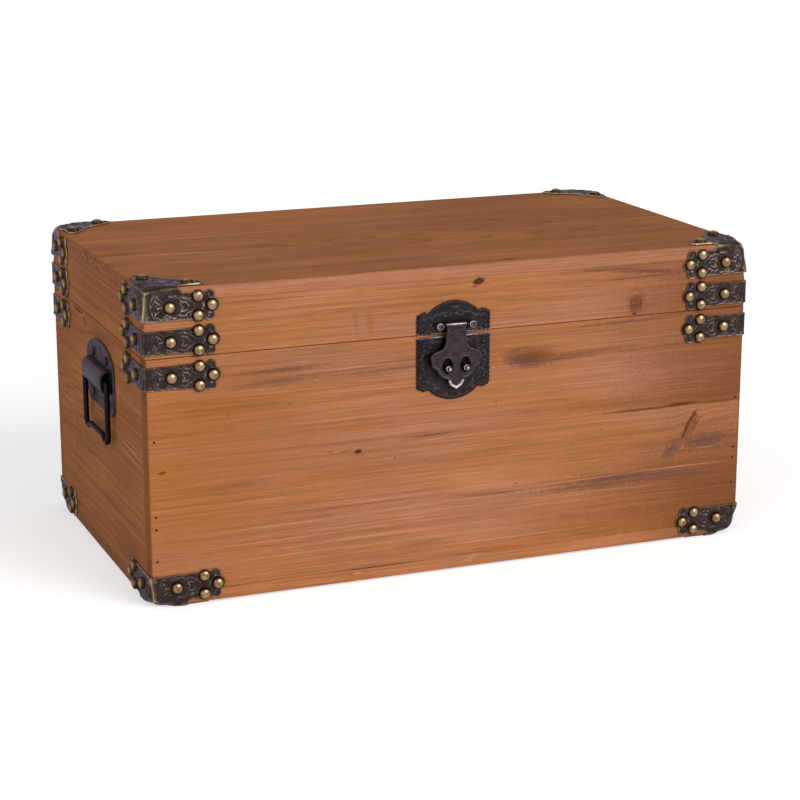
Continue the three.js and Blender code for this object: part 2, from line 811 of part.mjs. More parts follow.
function makeHinges() {
  const end = hinge.width / 2 + fit.running;
  const tip = end + hinge.headThickness;
  const pin = turnedPiece(
    [
      [0, -tip],
      [hinge.headRadius, -tip],
      [hinge.headRadius, -end],
      [hinge.pinRadius, -end],
      [hinge.pinRadius, end],
      [hinge.headRadius, end],
      [hinge.headRadius, tip],
      [0, tip],
    ],
    2 * facets.small,
  );
  const screwForm = screwPiece(hingePlateReach);
  for (const [name, x] of hinges) {
    add(`${name}_hinge_lower_leaf`, hingeLeaf(x, -1), blackIron);
    add(`${name}_hinge_upper_leaf`, hingeLeaf(x, 1), blackIron);
    add(`${name}_hinge_pin`, moved(pin, onRight, x, back + hinge.axisReach, seam), blackIron);
    for (const [side, across] of hingeScrews) {
      for (const [leaf, sign] of [["lower", -1], ["upper", 1]]) {
        const place = moved(screwForm, onBack, x + across, back, seam + sign * hinge.screwRise);
        add(`${name}_hinge_screw_${leaf}_${side}`, place, blackIron);
      }
    }
  }
}

makeWood();
makeBrackets();
makeLatch();
makeHandles();
makeHinges();

export default seaChest;
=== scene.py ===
"""The looks of a small pine sea chest: stained boards, pressed brackets with brass dome nails, a two-post
hasp latch, drop handles and hinges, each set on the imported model's own places."""

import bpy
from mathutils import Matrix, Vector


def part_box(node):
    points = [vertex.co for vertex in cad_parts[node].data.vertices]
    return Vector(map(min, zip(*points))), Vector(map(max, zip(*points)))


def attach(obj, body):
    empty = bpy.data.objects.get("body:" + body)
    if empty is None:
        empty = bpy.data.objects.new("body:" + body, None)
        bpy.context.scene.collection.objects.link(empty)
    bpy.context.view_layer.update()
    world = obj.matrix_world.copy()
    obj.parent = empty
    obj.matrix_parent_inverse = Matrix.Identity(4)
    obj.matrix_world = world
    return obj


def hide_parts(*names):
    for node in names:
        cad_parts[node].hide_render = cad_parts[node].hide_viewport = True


bl_info = {
    "name": "Sea chest",
    "version": (1, 0, 0),
    "blender": (4, 5, 0),
    "location": "3D View > Sidebar > Sea chest",
    "description": "Makes the boards, brackets, latch, handles and hinges of a pine sea chest",
    "category": "Object",
}

import math

import bpy
import numpy as np
from mathutils import Matrix, Vector
from mathutils.geometry import delaunay_2d_cdt

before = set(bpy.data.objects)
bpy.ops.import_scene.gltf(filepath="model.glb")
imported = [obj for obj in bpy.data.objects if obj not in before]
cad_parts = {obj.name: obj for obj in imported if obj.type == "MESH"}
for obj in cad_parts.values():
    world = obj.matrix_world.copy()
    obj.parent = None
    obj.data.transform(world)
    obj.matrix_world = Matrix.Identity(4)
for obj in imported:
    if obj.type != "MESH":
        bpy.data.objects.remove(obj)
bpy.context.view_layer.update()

# Places. Lengths below are millimetres in the wood's own frame: x runs along the chest, the front faces
# -y, and the underside of the base board is at 0.

TO_MM = 1000.0
base_low, base_high = (np.array(corner) * TO_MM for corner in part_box("base_board"))
lid_high = np.array(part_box("lid_top_board")[1]) * TO_MM
shift = np.array([(base_low[0] + base_high[0]) / 2, (base_low[1] + base_high[1]) / 2, base_low[2]])
length, depth = np.round(base_high - base_low, 2)[:2]
height = round(float(lid_high[2] - base_low[2]), 2)
chest_low = np.array([-length / 2, -depth / 2, 0.0])
chest_high = np.array([length / 2, depth / 2, height])
lid_rail_low = float(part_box("lid_front_rail")[0].z) * TO_MM - shift[2]
box_top = float(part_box("front_strip_top")[1].z) * TO_MM - shift[2]
seam = round((lid_rail_low + box_top) / 2, 2)


def board_box(node):
    """Lowest and highest corner of a CAD node, in the wood's frame."""
    low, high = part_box(node)
    return np.array(low) * TO_MM - shift, np.array(high) * TO_MM - shift


# Sizes of the metal pieces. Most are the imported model's own. The three-way corners are rounder here, and
# the bails' wire is thinner and hangs a little less deep.

# The gap behind every sheet, and the play of what turns.
SEAT = 0.3
RUNNING = 0.3

# Brackets: their face's height, the corners that they fold over, and their arms, lobes and nails, measured
# from the edge that they bend over or from the corner's tip.
SHEET_REACH = 1.1
FOLDED_IN = 0.2
EDGE_RADIUS = 1.2
LID_CORNER = 6.0
BASE_CORNER = 7.0
CORNER_REACH = 16.0
FOLD_RADIUS = 1.4
BAND = 12.6
FLARE = 14.0
FIRST_NAIL = 13.8
PAIR_NAIL = 28.8
PAIR_SPREAD = 10.2
END_NAIL = 36.2
END_LOBE = 4.1
PETAL = 35.0
PETAL_SPREAD = 10.4
PETAL_LOBE = 2.9
LID_EDGE_RISE = 8.5
BOX_EDGE_DROP = 10.2
NAIL_DROP = 9.9
SKIRT = 17.0
FOLD = 18.5
FOLD_RAMP = 2.5
UPPER_DROP = 2.6
LEAF = 34.0
LEAF_LOBE = 3.8
LEAF_SHARES = ((0.62, 0.06), (0.93, 0.07), (1, 0.15), (0.93, 0.26), (0.74, 0.39), (0.52, 0.52))
LEAF_NAIL = (0.75 * LEAF, 0.21 * LEAF)

# Latch: its plates, the pin with its ears and knobs, the flap and its two holes, the posts and small nails.
LATCH_X = -4.4
LATCH_WIDTH = 43.1
LATCH_REACH = 1.3
PIN_HEIGHT = seam + 5.0
PIN_REACH = 3.7
PIN_RADIUS = 0.9
KNOB_RADIUS = 2.2
EAR_THICKNESS = 0.7
BARREL_RADIUS = 2.0
BARREL_LENGTH = 11.8
FLAP_REACH = 4.2
FLAP_SHEET = 1.2
FLAP_WIDTH = 30.3
FLAP_LENGTH = 35.1
FLAP_SHARES = (
    (0.37, 0), (0.41, 0.285), (0.54, 0.36), (0.88, 0.4), (1, 0.47), (0.95, 0.58), (0.94, 0.635),
    (0.74, 0.68), (0.7, 0.74), (0.53, 0.815), (0.31, 0.845), (0.27, 0.9), (0.2, 0.945), (0.1, 0.97),
)
HOLE_SPREAD = 10.4
HOLE_DROP = 21.9
HOLE_WIDTH = 5.6
HOLE_HEIGHT = 8.4
POST_DROP = 23.0
TACKS = {"box": ((17.4, -6.2), (17.4, -25.5)), "lid": ((18.4, 2.6),)}
# From the seam to a plate's edge there, and to its corners.
UPPER_PLATE = (0.15, 12.1)
LOWER_PLATE = (1.1, 30.6)
# The arch between a plate's corners: half its width, the step before it, and its control point's rise.
PLATE_ARCH = (12.4, 1.8, 8.2)
# A plate's corner: steps in from its side, and beyond its corners' height.
PLATE_CORNER = (
    (0.0, -2.4), (0.3, -1.3), (1.1, -0.5), (2.2, -0.2), (3.4, 0.5), (4.6, 0.8), (5.8, 0.4), (7.0, 0.0),
)
EAR_FOOT = 1.0
# Turned forms: radius, height, and wear where there is any.
KNOB_PROFILE = (
    (0, -1.76), (1.54, -1.716), (2.09, -0.77), (2.2, 0.1, 0.1), (2.134, 1.1, 0.2), (1.848, 1.892, 0.8),
    (1.496, 2.024, 0.8), (1.21, 1.76, 0.2), (1.056, 0.66, 0), (0.748, 0.55, 0), (0.572, 0.88, 0.3),
    (0, 1.012, 0.5),
)
POST_PROFILE = (
    (0, SEAT), (1, SEAT), (1, 1.6), (1.55, 1.6), (1.75, 1.8), (1.75, 6.9, 0.1), (1.66, 7.4, 0.9),
    (1.36, 7.6, 0.9), (1.08, 7.3, 0), (0.9, 7.35, 0), (0.9, 8.5, 0.3), (0.75, 8.9, 0.8), (0.4, 9.0, 1.0),
    (0, 9.0, 1.0),
)

# Handles: the plate with its arch, the housing, the bail with its raised grip, and the screws' places.
HANDLE_Y = -10.0
PIVOT_HEIGHT = seam - 28.0
PIVOT_REACH = 3.7
PLATE_WIDTH = 57.4
PLATE_DROP = 19.0
ARCH_FOOT = 6.0
ARCH_RISE = 13.2
HUMP_LENGTH = 41.6
HUMP_HEIGHT = 13.0
HUMP_WALL = 0.9
WIRE = 1.5
BAIL_SPREAD = 48.0
BAIL_PIN = 10.0
BAIL_BEND = 3.0
BAIL_DROP = 33.2
BAIL_CORNER = 5.0
GRIP_RISE = 2.4
GRIP_LENGTH = 22.0
GRIP_RAMP = 5.0
HANDLE_SCREWS = ((-13.7, 10.4), (13.7, 10.4), (-16.6, -13.2), (16.6, -13.2))

# Hinges: their leaves, knuckles and pins, and the screws' places on a leaf.
HINGE_X = 105.0
HINGE_WIDTH = 33.0
HINGE_LEAF = 16.0
HINGE_AXIS = 2.9
KNUCKLE_RADIUS = 2.2
KNUCKLE = 11.0
PIN_HEAD = 0.8
HINGE_SCREWS = ((-10.0, 9.6), (10.0, 9.6))

# The height of the iron plates' face, their screws' holes, and how deep a nail's head sinks in.
IRON_FACE = 1.3
SCREW_HOLE = 1.5
NAIL_SINK = 0.4
# Brads in the panels' ends: x, and their heights on the front. Those on the back sit higher.
BRADS = ((-171.2, (89.9, 49.4, 42.6, 25.2)), (171.2, (80.7, 51.1, 45.1, 30.0)))
BRAD_HEIGHT = 0.12
BACK_BRAD_RISE = 3.0
# Where the boards' corners turn rounder under a bracket: fading in between two distances from the sides,
# and from the top or the foot.
BRACKET_SIDE = (18.3, 15.0)
BRACKET_END = (16.8, 14.0)

# The camera and the lamps. A lamp has a direction towards it, a strength, and its width in degrees.
CAMERA_PLACE = (-452.3, -1136.6, 396.0)
CAMERA_TURN = 21.89
CAMERA_TILT = 14.80
CAMERA_LENS = 97.36
CAMERA_SENSOR = 36
LAMPS = (("Key", (0.45, -0.85, 0.45), 1.8, 40), ("Fill", (-0.75, -0.5, 0.35), 0.7, 60))
FLOOR_METRES = 4

CORNERS = (("front_left", 1, 1), ("front_right", -1, 1), ("back_left", 1, -1), ("back_right", -1, -1))
SIDES = (("left", -1), ("right", 1))


# Properties


def linear(code):
    """A hex sRGB colour as the linear values that a shader takes."""
    values = [int(code[i:i + 2], 16) / 255 for i in (1, 3, 5)]
    return [v / 12.92 if v <= 0.04045 else ((v + 0.055) / 1.055) ** 2.4 for v in values] + [1.0]


def size_property(name, description, millimetres):
    return bpy.props.FloatProperty(
        name=name, description=description, default=millimetres / TO_MM, min=0.0, unit="LENGTH",
        subtype="DISTANCE")


def colour_property(name, description, code):
    return bpy.props.FloatVectorProperty(
        name=name, description=description, default=linear(code), size=4, min=0.0, max=1.0, subtype="COLOR")


class ChestSizes(bpy.types.PropertyGroup):
    joint_radius: size_property("Board edge", "Rounding where two boards meet", 0.25)
    edge_radius: size_property("Chest edge", "Rounding of the chest's own edges", EDGE_RADIUS)
    ring_width: size_property("Growth rings", "Distance between two growth rings of the pine", 4.2)
    relief: size_property("Relief", "Height of the pressed scrolls over their ground", 0.28)
    grid: size_property("Sheet grid", "Distance between points on a pressed sheet", 0.5)
    nail_radius: size_property("Nail radius", "Radius of a dome nail's head", 3.35)
    nail_height: size_property("Nail height", "Height of a dome nail's head", 2.0)
    tack_radius: size_property("Tack radius", "Radius of the latch's small nails", 1.3)
    tack_height: size_property("Tack height", "Height of the latch's small nails", 0.7)
    brad_radius: size_property("Brad radius", "Radius of the brads in the panels' ends", 0.65)
    screw_radius: size_property("Screw radius", "Radius of a screw's head", 2.5)
    screw_height: size_property("Screw height", "Height of a screw's head", 1.2)


class ChestColours(bpy.types.PropertyGroup):
    front_light: colour_property("Front pine, light", "Early wood of the front boards", "#c07d4b")
    front_pink: colour_property("Front pine, rosy", "Rosy early wood of the front boards", "#c08264")
    front_dark: colour_property("Front pine, dark", "Late wood of the front boards", "#905c39")
    side_light: colour_property("Side pine, light", "Early wood of the sides, back and lid", "#b87540")
    side_pink: colour_property("Side pine, rosy", "Early wood of the sides where it looks rosy", "#aa6a40")
    side_dark: colour_property("Side pine, dark", "Late wood of the sides, back and lid", "#79431f")
    knot: colour_property("Knot", "Heart of a knot", "#4c2717")
    stain: colour_property("Stain", "Grey streaks that the stain left", "#6d4b40")
    amber: colour_property("Amber", "Resin that shows through the stain", "#a8652e")
    pale: colour_property("Pale streak", "Streaks that took less stain", "#cf9872")
    # Partly painted light: this tone is painted shade over the right ends of the front boards and lid rail,
    # and a painted shadow in the seam behind the latch. Elsewhere it darkens the wood round knots and in
    # broad patches.
    shade: colour_property("Shade", "Broad parts where the stain lies deeper", "#7a4829")
    bronze: colour_property("Bronze ground", "Dark plating of the brackets", "#342a27")
    ridge: colour_property("Bronze ridge", "Scrolls rubbed bright", "#9c8c84")
    # This tone shows real wear, and down the corner brackets' folds it is also a painted highlight.
    gold: colour_property("Worn edge", "Brass that shows where the plating wore off", "#b99a74")
    brass: colour_property("Brass", "Dome nails", "#a4886a")
    # Round the nails' rims this tone is tarnish together with painted shade and dark reflection.
    tarnish: colour_property("Tarnish", "Dark brass round a nail's rim", "#3a2a16")
    gunmetal: colour_property("Gunmetal", "Dark plating of the latch", "#292323")
    # On the handle plates this tone also paints a highlight up the rib of the arch.
    gunmetal_ridge: colour_property("Gunmetal ridge", "Raised pattern of the latch", "#5a5152")
    flap: colour_property("Flap", "Plating of the latch's flap", "#362d31")
    # This tone also paints the highlight band along the latch's barrel.
    steel: colour_property("Worn steel", "Bright pin, posts and flap tip", "#b9afb2")
    iron: colour_property("Black iron", "Handle plates and hinges", "#3a3138")
    bail_black: colour_property("Bail black", "Lacquer of the bails", "#1d191b")
    floor: colour_property("Floor", "Studio floor", "#f4f4f4")


# Meshes


def grid_box(xs, ys, zs):
    """A block's surface with lines at the given stations."""
    counts = [len(xs), len(ys), len(zs)]
    index = np.arange(np.prod(counts)).reshape(counts)
    sides = []
    for axis in range(3):
        for end in (0, -1):
            face = np.take(index, end, axis=axis)
            if (end == 0) == (axis != 1):
                face = face.T
            corners = [face[:-1, :-1], face[1:, :-1], face[1:, 1:], face[:-1, 1:]]
            sides.append(np.stack([c.ravel() for c in corners], axis=1))
    quads = np.concatenate(sides)
    used, quads = np.unique(quads, return_inverse=True)
    points = np.stack(np.meshgrid(xs, ys, zs, indexing="ij"), axis=-1).reshape(-1, 3)[used]
    return points, quads.reshape(-1, 4)


def stations(low, high):
    """Places along a board's side: crowded at its ends, wide in its middle."""
    ends = np.array([0, 0.1, 0.25, 0.55, 1.0, 1.6, 2.4, 3.3])
    half = (high - low) / 2
    if half > 25:
        ends = np.concatenate([ends, np.arange(5.0, 22.0, 1.7)])
    ends = ends[ends < half - 0.3]
    count = max(1, int(round((high - low - 2 * ends[-1]) / 14)))
    middle = np.linspace(low + ends[-1], high - ends[-1], count + 1)[1:-1]
    return np.concatenate([low + ends, middle, high - ends[::-1]])


def rounded(points, low, high, radius):
    """Rounds a block's edges; each layer of it keeps its depth, so that what lies inside moves along."""
    nearest = np.clip(points, low + radius, high - radius)
    out = points - nearest
    size = np.linalg.norm(out, axis=1, keepdims=True)
    layer = np.abs(out).max(axis=1, keepdims=True)
    return nearest + out * np.where(size > 1e-9, layer / np.maximum(size, 1e-9), 1)


def smooth(low, high, value):
    """0 at low and 1 at high, with an easy start and end."""
    t = np.clip((value - low) / (high - low), 0, 1)
    return t * t * (3 - 2 * t)


def loop_depth(points, loop):
    """How deep each point lies in a closed outline; outside it is negative."""
    ends = np.roll(loop, -1, axis=0)
    run = ends - loop
    result = []
    for some in np.array_split(points, max(1, len(points) // 3000)):
        away = some[:, None, :] - loop[None]
        share = np.clip((away * run).sum(-1) / (run * run).sum(-1), 0, 1)
        distance = np.linalg.norm(away - share[..., None] * run, axis=-1).min(1)
        above = loop[None, :, 1] > some[:, None, 1]
        crosses = above != (ends[None, :, 1] > some[:, None, 1])
        rise = np.where(np.abs(run[:, 1]) < 1e-12, 1e-12, run[:, 1])
        reach = loop[None, :, 0] + away[..., 1] / rise * run[:, 0]
        inside = (crosses & (some[:, None, 0] < reach)).sum(1) % 2 == 1
        result.append(np.where(inside, distance, -distance))
    return np.concatenate(result)


def depth_in(points, outlines, holes=()):
    """How deep each point lies in a union of outlines with holes in it."""
    deep = np.max([loop_depth(points, o) for o in outlines], axis=0)
    for hole in holes:
        deep = np.minimum(deep, -loop_depth(points, hole))
    return deep


def circle(x, y, radius, count=40, radius_y=None):
    """Points of a circle, or of an oval with another radius upwards."""
    turn = np.linspace(0, 2 * math.pi, count, endpoint=False)
    return np.stack([x + radius * np.cos(turn), y + (radius_y or radius) * np.sin(turn)], axis=1)


def divided(loop, step):
    """The outline with its sides cut into pieces of about one step."""
    pieces = []
    for a, b in zip(loop, np.roll(loop, -1, axis=0)):
        count = max(1, int(math.ceil(np.linalg.norm(b - a) / step - 1e-6)))
        pieces.append(a + (b - a) * np.arange(count)[:, None] / count)
    return np.concatenate(pieces)


def flat_sheet(outlines, holes, step, lip=0.3):
    """Triangles over a union of outlines: fine, even, and with one row of points just inside the rim."""
    outlines = [np.array(o, float) for o in outlines]
    holes = [np.array(h, float) for h in holes]
    loops = [divided(o, step) for o in outlines + holes]
    points, edges = [], []
    for loop in loops:
        start = len(points)
        points.extend(loop)
        edges.extend((start + i, start + (i + 1) % len(loop)) for i in range(len(loop)))
    rim = np.array(points)
    rim = rim[np.abs(depth_in(rim, outlines, holes)) < 1e-3]
    nudge = 1e-3
    slope = np.stack(
        [depth_in(rim + offset, outlines, holes) - depth_in(rim - offset, outlines, holes)
         for offset in nudge * np.eye(2)], axis=1) / (2 * nudge)
    inner = rim + lip * slope
    inner = inner[np.abs(depth_in(inner, outlines, holes) - lip) < 0.02]
    low = np.min([o.min(0) for o in outlines], axis=0)
    high = np.max([o.max(0) for o in outlines], axis=0)
    field = []
    for i, y in enumerate(np.arange(low[1], high[1], step * math.sqrt(0.75))):
        row = np.arange(low[0] + (i % 2) * step / 2, high[0], step)
        field.append(np.stack([row, np.full(len(row), y)], axis=1))
    field = np.concatenate(field)
    field = field[depth_in(field, outlines, holes) > lip + 0.55 * step]
    seeds = [Vector(p) for p in np.concatenate([np.array(points), inner, field])]
    flat, _, faces, _, _, _ = delaunay_2d_cdt(seeds, edges, [], 0, 1e-4, False)
    flat = np.array([tuple(v) for v in flat])
    faces = np.array([f for f in faces if len(f) == 3])
    faces = faces[depth_in(flat[faces].mean(1), outlines, holes) > 0]
    a, b, c = (flat[faces[:, i]] for i in range(3))
    area = (b[:, 0] - a[:, 0]) * (c[:, 1] - a[:, 1]) - (b[:, 1] - a[:, 1]) * (c[:, 0] - a[:, 0])
    faces, area = faces[np.abs(area) > 1e-9], area[np.abs(area) > 1e-9]
    faces[area < 0] = faces[area < 0][:, ::-1]
    used, faces = np.unique(faces, return_inverse=True)
    flat = flat[used]
    return flat, faces.reshape(-1, 3), depth_in(flat, outlines, holes)


def thick(keys, faces, lift, top, under, **values):
    """A closed sheet. keys are its points on the sharp form, lift raises them by a height, and each value
    is a number for each point that its material reads."""
    _, first, same = np.unique(np.round(keys, 3), axis=0, return_index=True, return_inverse=True)
    faces = same.reshape(-1)[faces]
    keys, top = keys[first], top[first]
    values = {name: value[first] for name, value in values.items()}
    directed = np.concatenate([faces[:, [0, 1]], faces[:, [1, 2]], faces[:, [2, 0]]])
    code = directed[:, 0] * len(keys) + directed[:, 1]
    reverse = directed[:, 1] * len(keys) + directed[:, 0]
    border = directed[~np.isin(code, reverse)]
    count = len(keys)
    points = np.concatenate([lift(keys, top), lift(keys, np.full(count, under))])
    walls = np.stack([border[:, 0], border[:, 0] + count, border[:, 1] + count, border[:, 1]], axis=1)
    polygons = [tuple(p) for part in (faces, faces[:, ::-1] + count, walls) for p in part]
    values = {name: np.concatenate([value, np.zeros(count)]) for name, value in values.items()}
    return points, polygons, values


def carried(form, matrix, offset):
    """The form turned, or mirrored, by a matrix and then set at an offset."""
    points, polygons, values = form
    matrix = np.array(matrix, float)
    if np.linalg.det(matrix) < 0:
        polygons = [tuple(reversed(p)) for p in polygons]
    return points @ matrix.T + np.array(offset, float), polygons, values


def together(*forms):
    """Several forms as one."""
    points, polygons, names = [], [], sorted({n for f in forms for n in f[2]})
    values = {n: [] for n in names}
    start = 0
    for form_points, form_polygons, form_values in forms:
        points.append(form_points)
        polygons.extend(tuple(start + i for i in p) for p in form_polygons)
        for n in names:
            values[n].append(form_values.get(n, np.zeros(len(form_points))))
        start += len(form_points)
    return np.concatenate(points), polygons, {n: np.concatenate(v) for n, v in values.items()}


def turned(profile, steps):
    """A lathe form about z. Its profile gives radius and height, and wear where there is any, from the
    foot's middle to the tip's."""
    angle = np.linspace(0, 2 * math.pi, steps, endpoint=False)
    points, rows, wear = [], [], []
    for radius, rise, *worn in profile:
        wear.extend((worn or [0.0]) * (1 if radius < 1e-6 else steps))
        if radius < 1e-6:
            rows.append([len(points)] * steps)
            points.append((0, 0, rise))
        else:
            rows.append(list(range(len(points), len(points) + steps)))
            circling = [radius * np.cos(angle), radius * np.sin(angle), np.full(steps, rise)]
            points.extend(np.stack(circling, axis=1))
    polygons = []
    for low, high in zip(rows, rows[1:]):
        for i in range(steps):
            j = (i + 1) % steps
            corners = []
            for corner in (low[i], low[j], high[j], high[i]):
                if corner not in corners:
                    corners.append(corner)
            if len(corners) > 2:
                polygons.append(tuple(corners))
    return np.array(points, float), polygons, {"wear": np.array(wear)}


def swept(path, radius, sides, across):
    """A round wire along a flat path; across is the direction square to the path's plane."""
    path = np.array(path, float)
    run = np.gradient(path, axis=0)
    run /= np.linalg.norm(run, axis=1, keepdims=True)
    across = np.array(across, float)
    beside = np.cross(across, run)
    angle = np.linspace(0, 2 * math.pi, sides, endpoint=False)[None, :, None]
    ring = radius * (np.cos(angle) * beside[:, None, :] + np.sin(angle) * across)
    points = (path[:, None, :] + ring).reshape(-1, 3)
    polygons = []
    for i in range(len(path) - 1):
        for j in range(sides):
            k = (j + 1) % sides
            polygons.append((i * sides + k, (i + 1) * sides + k, (i + 1) * sides + j, i * sides + j))
    polygons.append(tuple(reversed(range(sides))))
    polygons.append(tuple(range((len(path) - 1) * sides, len(path) * sides)))
    return points, polygons, {}


def outward(points, polygons):
    """Turns a closed form's faces so that its volume is positive."""
    volume = 0.0
    for polygon in polygons:
        a = points[polygon[0]]
        for b, c in zip(polygon[1:], polygon[2:]):
            volume += np.dot(a, np.cross(points[b], points[c]))
    return polygons if volume > 0 else [tuple(reversed(p)) for p in polygons]


def new_mesh(name, points, polygons, values):
    """A mesh of points in millimetres, with each value kept on them for the materials."""
    mesh = bpy.data.meshes.new(name)
    mesh.from_pydata((points / TO_MM).tolist(), [], polygons)
    mesh.validate()
    for key, value in values.items():
        made = mesh.attributes.new(key, "FLOAT", "POINT")
        made.data.foreach_set("value", value.astype(np.float32))
    return mesh


def new_object(name, data):
    """An object of a mesh, a lamp or a camera, linked into the scene."""
    made = bpy.data.objects.new(name, data)
    bpy.context.scene.collection.objects.link(made)
    return made


def finish_piece(name, mesh, body, slot, nodes, sharp):
    """Makes a mesh the piece that rides a body and stands for its CAD nodes, which it hides. The slot is not
    used.
    """
    mesh.shade_smooth()
    mesh.set_sharp_from_angle(angle=math.radians(sharp))
    made = new_object(name, mesh)
    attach(made, body)
    if nodes:
        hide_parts(*nodes)


def piece(name, form, body, slot, material, nodes, sharp=50):
    """One finished piece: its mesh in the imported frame, its finish, its body and its CAD nodes."""
    points, polygons, values = form
    mesh = new_mesh(name, points + shift, polygons, values)
    mesh.materials.append(material)
    finish_piece(name, mesh, body, slot, nodes, sharp)


# Materials. A Map Range's inputs are 0 its value, 1 and 2 that value's range, and 3 and 4 the range it is
# laid over. A colour Mix's are 0 the share, and 6 and 7 the colours, and its result is output 2.


def add_node(tree, kind, inputs=None, **settings):
    """Adds one node. Settings are its own values; inputs are numbers, or the sockets that feed it."""
    made = tree.nodes.new(kind)
    for name, value in settings.items():
        setattr(made, name, value)
    for key, value in (inputs or {}).items():
        if isinstance(value, bpy.types.NodeSocket):
            tree.links.new(value, made.inputs[key])
        else:
            made.inputs[key].default_value = value
    return made


def emptied(held):
    """The node tree of a material or a world, with nothing in it."""
    held.use_nodes = True
    held.node_tree.nodes.clear()
    return held.node_tree


def new_material(name):
    """A material, its empty tree, its coordinates, and Object coordinates in millimetres of the wood's
    frame."""
    material = bpy.data.materials.new(name)
    tree = emptied(material)
    coordinates = add_node(tree, "ShaderNodeTexCoord").outputs
    place = add_node(
        tree, "ShaderNodeMapping",
        {"Vector": coordinates["Object"], "Location": tuple(-shift), "Scale": (TO_MM, TO_MM, TO_MM)})
    return material, tree, coordinates, place.outputs[0]


def shared_group(name, kind, inputs, outputs, fill):
    """The node group of that name, made and filled the first time. Its sockets are named with what they
    hold."""
    tree = bpy.data.node_groups.get(name)
    if tree is None:
        tree = bpy.data.node_groups.new(name, kind)
        for way, sockets in (("INPUT", inputs), ("OUTPUT", outputs)):
            for socket, holds in sockets.items():
                tree.interface.new_socket(socket, in_out=way, socket_type="NodeSocket" + holds)
        fill(tree, add_node(tree, "NodeGroupInput").outputs)
    return tree


def fill_mark(tree, given):
    """A soft ellipse on a board: how much of it covers a point, and how far it pushes the grain aside."""
    away = add_node(
        tree, "ShaderNodeVectorMath", {0: given["Place"], 1: given["Middle"]}, operation="SUBTRACT")
    turned_away = add_node(
        tree, "ShaderNodeVectorRotate", {"Vector": away.outputs[0], "Angle": given["Angle"]},
        rotation_type="Z_AXIS")
    shares = add_node(
        tree, "ShaderNodeVectorMath", {0: turned_away.outputs[0], 1: given["Size"]}, operation="DIVIDE")
    flat = add_node(
        tree, "ShaderNodeVectorMath", {0: shares.outputs[0], 1: (1, 1, 0)}, operation="MULTIPLY").outputs[0]
    far = add_node(tree, "ShaderNodeVectorMath", {0: flat}, operation="LENGTH").outputs["Value"]
    rough = add_node(tree, "ShaderNodeTexNoise", {"Vector": given["Place"], "Scale": 0.45, "Detail": 3})
    centred = add_node(tree, "ShaderNodeMath", {0: rough.outputs[0], 1: 0.5}, operation="SUBTRACT")
    ragged = add_node(
        tree, "ShaderNodeMath", {0: centred.outputs[0], 1: given["Ragged"]}, operation="MULTIPLY")
    edge = add_node(tree, "ShaderNodeMath", {0: far, 1: ragged.outputs[0]}, operation="ADD")
    near = add_node(tree, "ShaderNodeMath", {0: 1.0, 1: given["Softness"]}, operation="SUBTRACT")
    cover = add_node(
        tree, "ShaderNodeMapRange", {0: edge.outputs[0], 1: 1.0, 2: near.outputs[0], 3: 0.0, 4: 1.0},
        interpolation_type="SMOOTHSTEP")
    split = add_node(tree, "ShaderNodeSeparateXYZ", {0: flat})
    square = add_node(tree, "ShaderNodeMath", {0: far, 1: 2.0}, operation="POWER")
    fall = add_node(tree, "ShaderNodeMath", {0: square.outputs[0], 1: -0.45}, operation="MULTIPLY")
    fading = add_node(tree, "ShaderNodeMath", {0: fall.outputs[0]}, operation="EXPONENT")
    push = add_node(
        tree, "ShaderNodeMath", {0: split.outputs[1], 1: fading.outputs[0]}, operation="MULTIPLY")
    add_node(tree, "NodeGroupOutput", {"Cover": cover.outputs[0], "Push": push.outputs[0]})


def mark_group():
    """The group behind each mark on a board."""
    return shared_group(
        "Wood mark", "ShaderNodeTree",
        {"Place": "Vector", "Middle": "Vector", "Size": "Vector", "Angle": "Float", "Softness": "Float",
         "Ragged": "Float"},
        {"Cover": "Float", "Push": "Float"}, fill_mark)


# What each kind of mark does: its colour, its softness, how ragged it is, and how far it pushes the grain.
MARKS = {
    "knot": ("knot", 0.5, 0.6, 1.0),
    "stain": ("stain", 0.95, 0.9, 0.0),
    "line": ("knot", 0.8, 0.5, 0.0),
    "pale": ("pale", 0.9, 0.7, 0.0),
    "amber": ("amber", 0.9, 0.5, 0.0),
    # Shade marks are painted shade at the right ends of the front boards and lid rail, and a painted shadow
    # in the seam behind the latch. The others darken the wood round knots and in broad patches.
    "shade": ("shade", 0.98, 0.4, 0.0),
}

